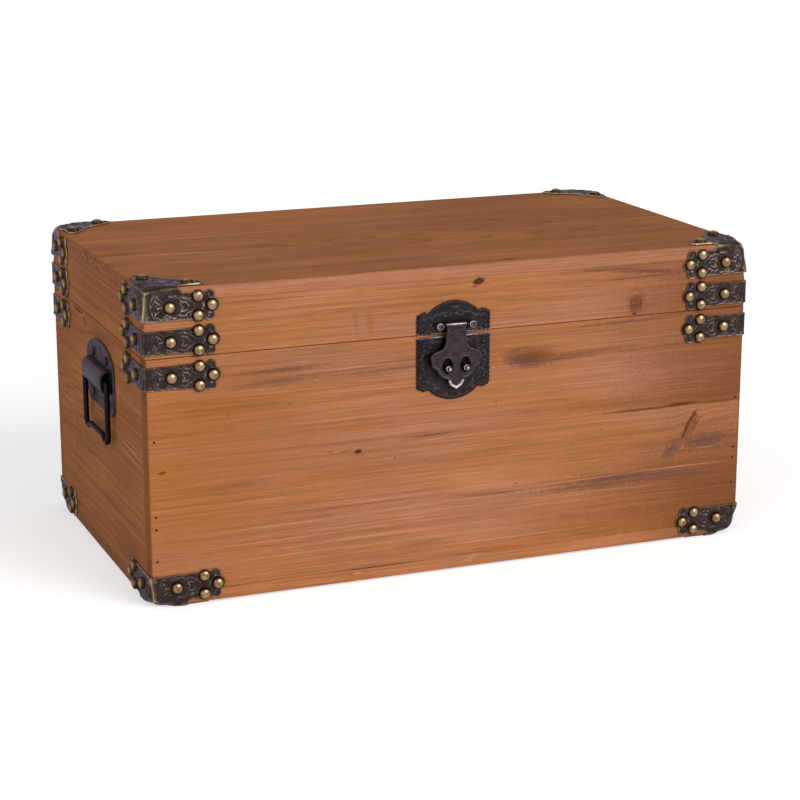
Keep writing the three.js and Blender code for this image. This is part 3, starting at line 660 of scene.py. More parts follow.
# Marks of each board: kind, place along and across the grain, half length, half height, degrees, strength.
BOARD_MARKS = {
    "front_strip_bottom": (
        # Painted shade: the broad shade mark darkens this board towards the chest's right end.
        ("shade", 186, 22, 175, 80, 0, 0.9), ("amber", -150, 58, 112, 84, 0, 0.62),
        ("amber", -60, 62, 48, 13, 2, 0.4), ("knot", -59, 73.2, 2.6, 1.6, 0, 0.95),
        ("line", -66, 74.2, 5, 0.6, 6, 0.6), ("line", -75, 74.6, 3, 0.5, 4, 0.5),
        ("knot", -167.5, 73.2, 2.6, 1.3, 10, 0.6), ("knot", -38, 67.4, 0.9, 0.6, 0, 0.7),
        ("knot", 33.8, 44.9, 0.9, 0.5, 0, 0.8), ("knot", 73.4, 35, 0.8, 0.5, 0, 0.6),
        ("knot", 86.2, 70, 1.0, 0.6, 0, 0.6), ("stain", 20, 40.4, 30, 1.6, -1, 0.6),
        ("stain", 96, 40.0, 68, 6.4, 0.4, 0.7), ("stain", 98, 41.2, 34, 2.0, 0.8, 0.5),
        ("stain", 140, 38.6, 26, 2.6, -4, 0.7), ("stain", 66, 38.0, 34, 1.6, 0, 0.4),
        ("pale", -85, 37.6, 100, 0.6, 0.6, 0.7), ("pale", 66, 42.2, 60, 0.55, 1, 0.6),
        ("pale", 136, 43.2, 46, 0.6, 0, 0.65), ("pale", 92, 34.6, 58, 0.5, -1.8, 0.4),
        ("pale", -80, 29.4, 105, 0.55, 0.6, 0.55), ("pale", -98, 33.6, 84, 0.45, 0.6, 0.4),
        ("pale", -70, 24.6, 80, 0.5, 1, 0.4), ("pale", -110, 20.4, 66, 0.5, 0.8, 0.4),
        ("pale", 0, 35.4, 50, 0.45, 1, 0.4), ("line", -53, 43.4, 64, 0.5, 0, 0.45),
        ("line", -110, 38.9, 60, 0.4, 0.6, 0.35), ("stain", -26, 46.8, 46, 2.0, 0.5, 0.35),
        ("pale", 6, 51, 40, 9, -3, 0.22), ("amber", 24, 8.6, 26, 2.2, -2, 0.9),
        ("line", 4, 7.8, 26, 0.6, -1, 0.4), ("amber", 100, 14, 50, 4, 2, 0.3),
        ("stain", -22, 17, 22, 4, 0, 0.3), ("line", -17, 77.9, 24, 0.8, 1, 0.6),
        ("amber", -20, 76.2, 24, 1.4, 1, 0.4), ("pale", -18, 75.2, 20, 0.5, 1, 0.4),
        ("knot", 142.4, 66.8, 11.5, 3.3, 61, 0.5), ("amber", 142.8, 66, 8, 1.3, 61, 0.4),
        ("line", 144.0, 72.2, 7, 1.1, 55, 0.8), ("line", 139.6, 64, 8.5, 1.1, 69, 0.8),
        ("line", 146.4, 67, 8, 0.8, 62, 0.7), ("amber", 138.3, 57, 3.6, 1.8, 64, 1.0),
        ("pale", 138, 54.6, 2.4, 1.0, 60, 0.7), ("stain", 130.5, 53, 11, 5.6, 52, 0.8),
        ("stain", 153, 57, 28, 6.6, 2, 0.75), ("pale", 152, 53.0, 12, 0.5, 0, 0.4),
        ("line", 112, 78.9, 34, 0.6, 0, 0.6), ("line", 160, 79, 16, 0.6, 0, 0.5),
        ("stain", -150, 12, 28, 5, 2, 0.3), ("stain", -126, 62, 26, 2.2, 3, 0.35),
        ("line", 120, 30, 40, 0.5, -2, 0.35)),
    "front_strip_middle": (
        # Painted shade: the broad shade mark darkens this board towards the chest's right end.
        ("shade", 186, 86, 135, 90, 0, 0.85), ("knot", -130.9, 100.2, 1.1, 0.8, 0, 0.7),
        ("knot", -97.3, 103.3, 1.1, 0.8, 0, 0.7), ("line", 21.5, 92.3, 0.3, 2.6, 0, 0.8),
        ("line", 136, 80.0, 14, 1.7, 1, 0.75), ("line", 108, 79.5, 34, 0.8, 0, 0.6),
        ("pale", -62, 107, 74, 0.6, -1, 0.6), ("pale", -70, 92, 60, 0.6, 1, 0.4),
        ("stain", -130, 104, 44, 3, 1.5, 0.4), ("pale", 90, 98, 70, 0.6, -1, 0.4),
        ("stain", 60, 90, 45, 1.4, 0, 0.2), ("amber", -60, 86, 40, 4, 1, 0.4),
        ("line", -90, 97, 70, 0.5, 1.2, 0.3), ("shade", 90, 84, 60, 4, 0, 0.25),
        ("amber", -150, 88, 112, 80, 0, 0.58)),
    "front_strip_top": (
        # Painted shade: the broad shade mark darkens the right end. The narrow one along the top edge behind
        # the latch is a painted shadow in the seam between the plates.
        ("shade", 182, 122, 115, 60, 0, 0.75), ("shade", -4.4, 132.6, 26, 3, 0, 1.0),
        ("amber", -160, 118, 100, 60, 0, 0.4), ("shade", 43, 116, 26, 8.0, -5, 0.95),
        ("stain", 38, 113.6, 17, 5.2, -8, 0.9), ("stain", 34, 120.6, 12, 1.8, 10, 0.6),
        ("stain", 66, 113.6, 26, 2.6, 2, 0.6), ("shade", 80, 116, 46, 3.0, 2, 0.5),
        ("amber", 21, 113.5, 3.2, 4.4, 0, 0.8), ("pale", 20, 112, 1.6, 2.0, 30, 0.5),
        ("line", 19, 114.8, 1.2, 0.7, 0, 0.6), ("pale", 23, 116.6, 2.4, 0.6, -20, 0.5),
        ("stain", 95, 130.8, 46, 1.6, 1, 0.7), ("line", 90, 127, 40, 0.5, 1, 0.5),
        ("line", 120, 115, 50, 0.5, 2, 0.4), ("stain", -100, 122, 34, 2.6, 1.5, 0.75),
        ("stain", -104, 116, 40, 3.0, 2, 0.6), ("pale", -80, 125.4, 66, 0.6, 0.6, 0.4),
        ("stain", -44, 116.5, 46, 1.6, 1.4, 0.6), ("stain", -30, 120.6, 36, 1.2, 1, 0.45),
        ("pale", 110, 121, 60, 0.6, 1, 0.4), ("line", 150, 121, 24, 0.5, 4, 0.4),
        ("line", -60, 118.6, 60, 0.5, 1.5, 0.3), ("pale", -60, 119.6, 60, 0.5, 1.2, 0.35),
        ("stain", 156, 119, 20, 1.4, 3, 0.5)),
    "lid_front_rail": (
        # Painted shade: the broad shade mark darkens the right end. The narrow one along the lower edge
        # behind the latch is a painted shadow in the seam between the plates.
        ("shade", 182, 148, 135, 70, 0, 0.75), ("shade", -4.4, 133.4, 26, 3, 0, 1.0),
        ("shade", 105.8, 141.5, 8, 11, 0, 0.8), ("line", 102.8, 140, 1.0, 5.4, 3, 0.6),
        ("line", 108.8, 140, 1.0, 5.4, -2, 0.6), ("stain", 105.8, 139.8, 3.6, 6.4, 0, 0.55),
        ("shade", 105.8, 140, 4.4, 7.4, 0, 0.6), ("line", 104.8, 134.8, 2.2, 1.1, 0, 1.0),
        ("stain", 105.8, 145.0, 2.6, 1.2, 0, 0.5), ("amber", 105.8, 147.8, 6, 1.6, 0, 0.55),
        ("amber", 107, 151, 5, 2.2, 0, 0.35), ("pale", 105.6, 146.6, 3.6, 0.6, 0, 0.5),
        ("knot", 10.6, 160.6, 4.4, 2.4, 12, 0.95), ("line", 8, 157.8, 3, 0.7, 0, 0.6),
        ("amber", 51.4, 163.8, 5, 1.8, 0, 0.95), ("stain", 112, 158.4, 38, 2.2, -5, 0.9),
        ("line", 100, 162.4, 60, 0.5, 0, 0.5), ("stain", 90, 161.2, 36, 1.2, -1, 0.6),
        ("line", 108, 155.4, 40, 0.5, 1.5, 0.6), ("amber", -52, 143, 2.6, 10, 5, 0.6),
        ("stain", -60, 143, 1.8, 11, 8, 0.3), ("amber", -67, 151, 10, 3, 0, 0.4),
        ("pale", -100, 152, 70, 0.8, 1, 0.35), ("stain", -20, 141, 50, 1.6, 1, 0.3),
        ("line", -110, 160, 60, 0.6, 0.6, 0.35), ("stain", -28, 160.8, 50, 1.6, 0, 0.4)),
    "base_board": (
        ("amber", -62, 4.2, 6, 2.2, 0, 0.9), ("pale", -60, 4.6, 4, 1.2, 0, 0.7),
        ("line", -50, 6.8, 44, 0.6, 0, 0.8), ("line", -140, 6.8, 36, 0.5, 0, 0.6),
        ("pale", 8, 5, 8, 2, 20, 0.4), ("shade", 150, 3, 60, 10, 0, 0.6)),
    "lid_top_board": (
        ("knot", 31, -93.5, 5, 1.8, 8, 0.8), ("knot", 46, 71, 5, 1.8, 5, 0.7),
        ("line", 33, -4, 38, 0.7, 2, 0.75), ("pale", -130, -13, 50, 1.8, -6, 0.6),
        ("pale", -92, 32, 84, 1.8, 2, 0.5), ("pale", -120, -36, 54, 1.6, -3, 0.5),
        ("pale", -84, -15, 40, 0.9, -12, 0.5), ("pale", -82, -33, 38, 0.9, 13, 0.4),
        ("pale", -38, -16, 36, 0.8, -11, 0.45), ("pale", -36, -33, 34, 0.8, 14, 0.4),
        ("line", -30, -48, 90, 0.8, 1, 0.4), ("line", -60, 12, 80, 0.8, 2, 0.4),
        ("pale", -90, -60, 54, 1.6, 2, 0.4), ("stain", 60, 40, 60, 8, 2, 0.3),
        ("shade", 130, -20, 130, 150, 0, 0.28), ("stain", 100, -50, 50, 7, -2, 0.35),
        ("pale", 20, 88, 90, 1.6, 1, 0.3), ("stain", -20, -70, 60, 4, 3, 0.3),
        ("stain", -120, 50, 50, 4, 4, 0.35), ("line", 20, 60, 110, 0.8, 1.5, 0.35),
        ("stain", 20, 16, 60, 3, 3, 0.3), ("pale", -180, -42, 4, 1.1, 0, 0.9),
        ("pale", -180, -47, 4, 1.3, 0, 1.0), ("pale", -180, -52, 3, 1.0, 0, 0.8),
        ("pale", -180, -57.5, 4, 1.4, 0, 1.0), ("pale", -180, -63, 3, 1.1, 0, 0.9),
        ("pale", -180, -68, 4, 1.0, 0, 0.8)),
    "left_side_panel": (
        ("pale", -68, 77.6, 36, 0.8, 3, 0.8), ("pale", -64, 73.6, 36, 0.7, 3, 0.6),
        ("pale", -44, 101, 2.4, 9, 6, 0.35), ("amber", -36, 100, 5, 12, 0, 0.4),
        ("line", 40, 131.5, 15, 1.8, 1, 0.9), ("knot", 26, 128, 4, 3, 0, 0.5),
        ("stain", -12, 128, 34, 3, 2, 0.5), ("stain", 20, 60, 40, 6, 4, 0.3),
        ("shade", -60, 20, 50, 20, -3, 0.4), ("pale", 62, 60, 1.0, 34, 4, 0.4),
        ("pale", 72, 71, 24, 0.8, 2, 0.35)),
}

# Each board: body, slot, which coordinates run along and across the grain and into the board, whether it
# is of the lighter front wood, the place of the tree's heart across and into the board, how far that heart
# leans, and how far the grain wanders, in millimetres.
BOARDS = {
    "base_board": ("box", "side_pine", "xzy", 1, (-60, -60), 0.01, 4),
    "front_strip_bottom": ("box", "front_pine", "xzy", 1, (-95, -40), 0.02, 9),
    "front_strip_middle": ("box", "front_pine", "xzy", 1, (190, -55), -0.03, 10),
    "front_strip_top": ("box", "front_pine", "xzy", 1, (30, -30), 0.03, 8),
    "back_panel": ("box", "side_pine", "xzy", 0, (60, 40), 0.06, 14),
    "left_side_panel": ("box", "side_pine", "yzx", 0, (160, -120), 0.05, 12),
    "right_side_panel": ("box", "side_pine", "yzx", 0, (85, 110), 0.06, 12),
    "lid_top_board": ("lid", "side_pine", "xyz", 0, (-14, 112), 0.075, 16),
    "lid_front_rail": ("lid", "front_pine", "xzy", 1, (250, -60), 0.02, 8),
    "lid_back_rail": ("lid", "side_pine", "xzy", 0, (130, 40), 0.04, 8),
    "lid_left_rail": ("lid", "side_pine", "yzx", 0, (90, -120), 0.04, 8),
    "lid_right_rail": ("lid", "side_pine", "yzx", 0, (200, 110), 0.04, 8),
}


# How dark a growth ring is at each share of its width.
RING = ((0.5, 0.06), (0.76, 0.5), (0.86, 1.0), (0.93, 0.55))

# Noises of the wood: what each gives, its grains' millimetres along, across and into the board, its detail
# and roughness, the part of its range that is used, and what that becomes.
WOOD_NOISES = (
    ("rosy", (120, 34, 34), 2, 0.5, (0.4, 0.6), (0.0, 1.0)),
    ("streaks", (190, 2.6, 2.6), 4, 0.6, (0.34, 0.72), (0.0, 0.42)),
    ("blotches", (70, 22, 22), 2, 0.5, (0.3, 0.7), (0.0, 0.3)),
    ("pale lines", (420, 1.0, 1.0), 2, 0.5, (0.6, 0.72), (0.0, 0.45)),
    ("flecks", (3.2, 0.35, 0.35), 1, 0.5, (0.72, 0.8), (0.0, 0.45)),
    ("threads", (110, 0.8, 0.8), 2, 0.6, (0.3, 0.7), (0.86, 1.14)),
)


def pine(name, board, seed, sizes, colours):
    """Pine, planed, rubbed with walnut stain and waxed: broad pale early wood, thin dark late wood, faint
    fibres and a dull sheen. Late wood stands a hair proud, and end grain drinks more stain."""
    body, _, order, front, heart, lean, wander = board
    material, tree, coordinates, place = new_material("Stained pine, " + name.replace("_", " "))
    axes = add_node(tree, "ShaderNodeSeparateXYZ", {0: place}).outputs
    along, across, into = (axes["xyz".index(letter)] for letter in order)
    laid = add_node(tree, "ShaderNodeCombineXYZ", {0: along, 1: across, 2: into}).outputs[0]
    marks, pushed = [], laid
    for kind, u, v, half_length, half_height, degrees, strength in BOARD_MARKS.get(name, ()):
        tone, softness, ragged, push = MARKS[kind]
        mark = add_node(
            tree, "ShaderNodeGroup",
            {"Place": laid, "Middle": (u, v, 0), "Size": (half_length, half_height, 1),
             "Angle": -math.radians(degrees), "Softness": softness, "Ragged": ragged},
            node_tree=mark_group())
        cover = add_node(
            tree, "ShaderNodeMath", {0: mark.outputs["Cover"], 1: strength}, operation="MULTIPLY")
        marks.append((cover.outputs[0], getattr(colours, tone)[:]))
        if push and half_height > 1:
            moved = add_node(
                tree, "ShaderNodeMath", {0: mark.outputs["Push"], 1: -push * half_height},
                operation="MULTIPLY")
            sideways = add_node(tree, "ShaderNodeCombineXYZ", {1: moved.outputs[0]})
            pushed = add_node(
                tree, "ShaderNodeVectorMath", {0: pushed, 1: sideways.outputs[0]},
                operation="ADD").outputs[0]

    def grain(millimetres, detail, roughness=0.5):
        """Noise with grains of those sizes along, across and into the board."""
        stretched = add_node(
            tree, "ShaderNodeMapping",
            {"Vector": pushed, "Scale": tuple(1 / size for size in millimetres),
             "Location": (seed * 7.3, seed * 3.1, seed * 5.7)})
        return add_node(
            tree, "ShaderNodeTexNoise",
            {"Vector": stretched.outputs[0], "Scale": 1.0, "Detail": detail, "Roughness": roughness}).outputs

    given = {}
    for key, millimetres, detail, roughness, (low, high), (start, end) in WOOD_NOISES:
        given[key] = add_node(
            tree, "ShaderNodeMapRange",
            {0: grain(millimetres, detail, roughness)[0], 1: low, 2: high, 3: start, 4: end}).outputs[0]

    centred = add_node(
        tree, "ShaderNodeVectorMath", {0: grain((210, 70, 70), 2)["Color"], 1: (0.5, 0.5, 0.5)},
        operation="SUBTRACT")
    bent = add_node(
        tree, "ShaderNodeVectorMath", {0: centred.outputs[0], 1: (0, 2 * wander, 2 * wander)},
        operation="MULTIPLY")
    waved = add_node(tree, "ShaderNodeVectorMath", {0: pushed, 1: bent.outputs[0]}, operation="ADD")
    trunk = add_node(
        tree, "ShaderNodeMapping",
        {"Vector": waved.outputs[0], "Location": (0, -heart[0], -heart[1]),
         "Rotation": (0, -lean, lean * 0.3)})
    flat = add_node(
        tree, "ShaderNodeVectorMath", {0: trunk.outputs[0], 1: (0, 1, 1)}, operation="MULTIPLY")
    radius = add_node(tree, "ShaderNodeVectorMath", {0: flat.outputs[0]}, operation="LENGTH")
    rings = add_node(
        tree, "ShaderNodeMath", {0: radius.outputs["Value"], 1: sizes.ring_width * TO_MM},
        operation="DIVIDE")
    jittered = add_node(
        tree, "ShaderNodeMath", {0: grain((420, 7, 7), 1)[0], 1: 1.6, 2: rings.outputs[0]},
        operation="MULTIPLY_ADD")
    ring = add_node(tree, "ShaderNodeMath", {0: jittered.outputs[0]}, operation="FRACT")
    late = add_node(tree, "ShaderNodeValToRGB", {0: ring.outputs[0]})
    ramp = late.color_ramp.elements
    for position, value in RING:
        ramp.new(position).color = (value, value, value, 1)
    for end in (0, -1):
        ramp[end].color = (0, 0, 0, 1)
    strength = add_node(
        tree, "ShaderNodeMapRange",
        {0: grain((150, 14, 14), 2)[0], 1: 0.36, 2: 0.66, 3: 0.1, 4: 0.5 if front else 0.8})
    late_wood = add_node(
        tree, "ShaderNodeMath", {0: late.outputs[0], 1: strength.outputs[0]},
        operation="MULTIPLY").outputs[0]
    stained = add_node(
        tree, "ShaderNodeMath", {0: given["streaks"], 1: given["blotches"]}, operation="ADD").outputs[0]

    kind = "front_" if front else "side_"
    light, rosy, dark = (getattr(colours, kind + tone)[:] for tone in ("light", "pink", "dark"))
    layers = [(given["rosy"], rosy), (stained, dark), (late_wood, dark),
              (given["pale lines"], colours.pale[:]), (given["flecks"], colours.knot[:])]

    # Where the board faces another way: that direction, the range over which it shows, how much, and the
    # two tones that its own pattern has there.
    facing = add_node(tree, "ShaderNodeSeparateXYZ", {0: coordinates["Normal"]}).outputs
    end_facing = facing["xyz".index(order[0])]
    turns = []
    if name == "lid_top_board":
        turns.append(
            (facing[1], (0.6, 0.9), 0.8, given["streaks"], colours.front_pink, colours.front_dark))
    if name.startswith("front_strip"):
        turns.append((end_facing, (0.6, 0.9), 0.98, given["streaks"], colours.knot, colours.stain))
    else:
        other = colours.stain if name == "base_board" else colours.front_pink
        turns.append((end_facing, (0.6, 0.9), 0.7, late.outputs[0], colours.side_dark, other))
    if body == "box" and front:
        both_ways = add_node(
            tree, "ShaderNodeMath", {0: facing[0], 1: facing[1]}, operation="MULTIPLY").outputs[0]
        turns.append((both_ways, (0.05, 0.3), 0.75, given["streaks"], colours.knot, colours.knot))
    for direction, (low, high), most, pattern, first, second in turns:
        size = add_node(tree, "ShaderNodeMath", {0: direction}, operation="ABSOLUTE")
        share = add_node(tree, "ShaderNodeMapRange", {0: size.outputs[0], 1: low, 2: high, 3: 0.0, 4: most})
        tone = add_node(
            tree, "ShaderNodeMix", {0: pattern, 6: first[:], 7: second[:]}, data_type="RGBA")
        layers.append((share.outputs[0], tone.outputs[2]))

    colour = light
    for share, tone in layers + marks:
        colour = add_node(
            tree, "ShaderNodeMix", {0: share, 6: colour, 7: tone}, data_type="RGBA").outputs[2]
    fibres = grain((16, 0.5, 0.5), 3, 0.7)[0]
    fibre_tone = add_node(tree, "ShaderNodeMapRange", {0: fibres, 1: 0.25, 2: 0.75, 3: 0.79, 4: 1.21})
    fine = add_node(
        tree, "ShaderNodeMath", {0: fibre_tone.outputs[0], 1: given["threads"]}, operation="MULTIPLY")
    shaded = add_node(
        tree, "ShaderNodeVectorMath", {0: colour, "Scale": fine.outputs[0]}, operation="SCALE")
    dull = add_node(tree, "ShaderNodeMapRange", {0: fibres, 1: 0.2, 2: 0.8, 3: 0.68, 4: 0.84})
    relief = add_node(
        tree, "ShaderNodeMath", {0: late_wood, 1: 0.8, 2: fibres}, operation="MULTIPLY_ADD")
    bump = add_node(
        tree, "ShaderNodeBump", {"Height": relief.outputs[0], "Strength": 0.3, "Distance": 0.0002})
    shader = add_node(
        tree, "ShaderNodeBsdfPrincipled",
        {"Base Color": shaded.outputs[0], "Roughness": dull.outputs[0], "Normal": bump.outputs[0],
         "Specular IOR Level": 0.1})
    add_node(tree, "ShaderNodeOutputMaterial", {"Surface": shader.outputs[0]})
    return material


def plated(name, ground, ridge, worn, roughness, grain, pits, tint=(0.68, 0.62, 0.76, 1)):
    """Thin sheet with a dark plating: smoky in its ground, rubbed bright on its ridges, down to the yellow
    metal along its edges, and finely pitted all over. Some of that brightness is painted highlight: a line
    down the corner brackets' folds, a band along the latch's barrel and the rib up the handle plates' arch."""
    material, tree, _, place = new_material(name)
    cloud = add_node(tree, "ShaderNodeTexNoise", {"Vector": place, "Scale": 0.25, "Detail": 4}).outputs[0]
    fine = add_node(tree, "ShaderNodeTexNoise", {"Vector": place, "Scale": grain, "Detail": 2}).outputs[0]
    smoky = add_node(tree, "ShaderNodeMapRange", {0: cloud, 1: 0.3, 2: 0.7, 3: 0.7, 4: 1.35})
    colour = add_node(
        tree, "ShaderNodeVectorMath", {0: ground[:3], "Scale": smoky.outputs[0]},
        operation="SCALE").outputs[0]
    for attribute, pattern, low, high, most, tone in (
            ("relief", fine, 0.2, 0.6, 0.85, ridge), ("wear", cloud, 0.1, 0.62, 1.0, worn)):
        held = add_node(tree, "ShaderNodeAttribute", attribute_name=attribute)
        patchy = add_node(tree, "ShaderNodeMath", {0: held.outputs["Fac"], 1: pattern}, operation="MULTIPLY")
        share = add_node(
            tree, "ShaderNodeMapRange", {0: patchy.outputs[0], 1: low, 2: high, 3: 0.0, 4: most})
        colour = add_node(
            tree, "ShaderNodeMix", {0: share.outputs[0], 6: colour, 7: tone[:]}, data_type="RGBA").outputs[2]
    dull = add_node(
        tree, "ShaderNodeMapRange", {0: fine, 1: 0.3, 2: 0.7, 3: roughness - 0.08, 4: roughness + 0.1})
    bump = add_node(tree, "ShaderNodeBump", {"Height": fine, "Strength": pits, "Distance": 0.0002})
    shader = add_node(
        tree, "ShaderNodeBsdfPrincipled",
        {"Base Color": colour, "Metallic": 0.9, "Roughness": dull.outputs[0], "Specular Tint": tint,
         "Normal": bump.outputs[0]})
    add_node(tree, "ShaderNodeOutputMaterial", {"Surface": shader.outputs[0]})
    return material


def domed(name, middle, rim, start, end, dark_patch_share):
    """Stamped metal, lightly polished: one tone on the dome and another round its rim, with a few brown
    spots.
    On the brass nails the dark rim is tarnish together with painted shade and dark reflection, and the brown
    spots are painted dark reflection set at random; on the rivets the lighter rim is wear."""
    material, tree, _, place = new_material(name)
    far = add_node(tree, "ShaderNodeAttribute", attribute_name="rim")
    spots = add_node(tree, "ShaderNodeTexNoise", {"Vector": place, "Scale": 0.9, "Detail": 3}).outputs[0]
    rim_reach = add_node(
        tree, "ShaderNodeMath", {0: spots, 1: 0.3, 2: far.outputs["Fac"]}, operation="MULTIPLY_ADD")
    share = add_node(
        tree, "ShaderNodeMapRange", {0: rim_reach.outputs[0], 1: start + 0.15, 2: end + 0.15, 3: 0.0, 4: 1.0},
        interpolation_type="SMOOTHSTEP")
    patches = add_node(tree, "ShaderNodeTexNoise", {"Vector": place, "Scale": 0.42, "Detail": 2})
    brown = add_node(tree, "ShaderNodeMapRange", {0: patches.outputs[0], 1: 0.44, 2: 0.62, 3: 0.0, 4: dark_patch_share})
    most = add_node(tree, "ShaderNodeMath", {0: share.outputs[0], 1: brown.outputs[0]}, operation="MAXIMUM")
    colour = add_node(tree, "ShaderNodeMix", {0: most.outputs[0], 6: middle[:], 7: rim[:]}, data_type="RGBA")
    dull = add_node(tree, "ShaderNodeMapRange", {0: spots, 1: 0.3, 2: 0.7, 3: 0.17, 4: 0.3})
    shader = add_node(
        tree, "ShaderNodeBsdfPrincipled",
        {"Base Color": colour.outputs[2], "Metallic": 1.0, "Roughness": dull.outputs[0],
         "Specular Tint": (0.5, 0.46, 0.46, 1)})
    add_node(tree, "ShaderNodeOutputMaterial", {"Surface": shader.outputs[0]})
    return material


# Each metal finish: how it is made, its name, its colours, and that maker's other values.
FINISHES = {
    # Pressed steel sheet, plated and rubbed: brown black hollows, and ridges of a rosy grey.
    "bronze": (plated, "Antique bronze plated sheet", ("bronze", "ridge", "gold"), 0.38, 1.3, 0.06),
    # The same sheet in a colder plating, nearly black, that the light only grazes.
    "gunmetal": (
        plated, "Gunmetal plated sheet", ("gunmetal", "gunmetal_ridge", "steel"), 0.42, 1.6, 0.2),
    # Stippled by its die, so that it glitters where the smooth plates don't.
    "flap": (
        plated, "Gunmetal plated sheet, stippled", ("flap", "gunmetal_ridge", "steel"), 0.42, 1.4, 0.5),
    # Turned pins whose plating hands have worn off, bright on their rims.
    "steel": (
        plated, "Steel, turned and worn", ("gunmetal_ridge", "gunmetal_ridge", "steel"), 0.3, 1.2, 0.1),
    # Stamped plate under black lacquer, soft in its sheen and a little purple.
    "iron": (
        plated, "Black lacquered iron plate", ("iron", "gunmetal_ridge", "gunmetal_ridge"), 0.42, 0.9, 0.12,
        (0.55, 0.5, 0.55, 1)),
    # Drawn wire under the same lacquer, smoother, with a long thin highlight.
    "bail": (
        plated, "Black lacquered iron wire", ("bail_black", "iron", "iron"), 0.35, 0.9, 0.1,
        (0.5, 0.45, 0.5, 1)),
    # Thin brass stamped to a dome: a warm mirror, dark round its rim with tarnish, painted shade and dark
    # reflection, and with brown spots of painted dark reflection.
    "brass": (domed, "Brass, stamped and polished", ("brass", "tarnish"), 0.42, 0.92, 0.55),
    # Small plated rivets, dark on top and lighter round the rim.
    "rivet": (domed, "Gunmetal rivet, rubbed rim", ("gunmetal", "iron"), 0.45, 0.75, 0.0),
}


def shared_material(context, kind):
    """The finish of that kind, made the first time a piece asks for it."""
    key = "sea_chest_" + kind
    if context.scene.get(key) is None:
        maker, name, tones, *values = FINISHES[kind]
        colours = context.scene.sea_chest_colours
        context.scene[key] = maker(name, *(getattr(colours, tone) for tone in tones), *values)
    return context.scene[key]


# Boards


def make_board(node, sizes, colours, seed):
    """One board: rounded a little where it meets others, and as the chest is along the chest's edges."""
    body, slot = BOARDS[node][:2]
    low, high = board_box(node)
    points, quads = grid_box(*(stations(a, b) for a, b in zip(low, high)))
    points = rounded(points, low, high, sizes.joint_radius * TO_MM)
    side_gap = np.minimum(points - chest_low, chest_high - points)
    near = (smooth(*BRACKET_SIDE, side_gap[:, 0]) * smooth(*BRACKET_SIDE, side_gap[:, 1])
            * smooth(*BRACKET_END, side_gap[:, 2]))
    edge = sizes.edge_radius * TO_MM
    corner = np.where(points[:, 2] > height / 2, LID_CORNER, BASE_CORNER) + FOLDED_IN
    points = rounded(points, chest_low, chest_high, (edge + (corner - edge) * near)[:, None])
    material = pine(node, BOARDS[node], seed, sizes, colours)
    piece(node + "_wood", (points, quads.tolist(), {}), body, slot, material, [node], 35)


# Brackets

# Scrolls pressed into each arm: middle along the arm and across it, radius, first and last degree.
SCROLLS = (
    (14.5, 0.5, 10.6, 150, 212), (14.5, 0.5, 9.3, 158, 176), (14.5, 0.5, 9.3, 190, 206),
    (12.0, 8.0, 14.0, 246, 290), (12.4, -2.2, 3.2, 232, 308), (12.4, -7.4, 3.2, 52, 128),
    (7.6, -3.6, 1.6, 60, 280), (8.6, -2.6, 2.9, 60, 115), (9.5, 5.2, 3.4, 190, 265),
    (11.0, 7.2, 4.0, 195, 250), (8.4, 0.6, 1.5, 80, 230), (2.6, -5.2, 1.2, 60, 250),
    (14.2, 1.4, 4.2, 40, 100), (16.6, 3.0, 2.6, 20, 110), (15.2, -1.0, 4.6, 262, 318),
    (18.0, -0.4, 2.6, -70, 60), (19.5, -4.8, 9.4, 40, 95), (19.5, 4.8, 9.4, 265, 320),
    (18.4, -4.6, 7.6, 38, 84), (18.4, 4.6, 7.6, 276, 322), (21.0, 1.2, 1.1, 20, 200),
    (21.0, -1.2, 1.1, 160, 340), (22.0, 5.9, 1.1, 190, 340), (22.0, -5.9, 1.1, 20, 170),
    (25.2, 5.2, 1.0, 200, 330), (25.2, -5.2, 1.0, 30, 160), (31.2, 0.0, 1.2, -50, 50),
    (32.6, 1.5, 1.5, 150, 260), (32.6, -1.5, 1.5, 100, 210), (35.6, 5.2, 1.4, 150, 300),
    (35.6, -5.2, 1.4, 60, 210), (18.4, -5.6, 1.2, 20, 170),
)
LEAF_SCROLLS = (
    (13.0, 4.6, 2.6, 100, 340), (13.2, 4.6, 1.2, 40, 220), (19.0, 3.6, 1.9, -40, 140),
    (30.8, 5.0, 1.4, -60, 120), (32.4, 4.6, 1.2, -60, 120), (18.5, 10.5, 2.4, 60, 250),
    (18.6, 10.6, 1.0, 0, 200), (12.0, 12.0, 3.4, 120, 330), (12.0, 12.0, 1.7, 60, 300),
    (6.5, 6.5, 2.0, -60, 140), (23.0, 12.6, 1.2, 100, 300),
)


def stroke_cover(points, scrolls, width):
    """How much of a raised stroke covers each point, from 0 to 1. The strokes waver, as on a die cut by
    hand."""
    x, y = points.T
    points = points + 0.28 * np.stack([np.sin(1.9 * y + 0.6 * x), np.sin(1.7 * x - 0.9 * y)], axis=1)
    best = np.full(len(points), 1e3)
    for along, across, radius, first, last in scrolls:
        away = points - (along, across)
        distance = np.linalg.norm(away, axis=1)
        angle = np.degrees(np.arctan2(away[:, 1], away[:, 0]))
        middle, half = (first + last) / 2, (last - first) / 2
        off = np.abs((angle - middle + 180) % 360 - 180)
        on_arc = np.abs(distance - radius)
        tips = [(radius * math.cos(a), radius * math.sin(a)) for a in map(math.radians, (first, last))]
        ends = [np.linalg.norm(away - tip, axis=1) for tip in tips]
        best = np.minimum(best, np.where(off <= half, on_arc, np.minimum(*ends)))
    return smooth(width, width * 0.3, best)


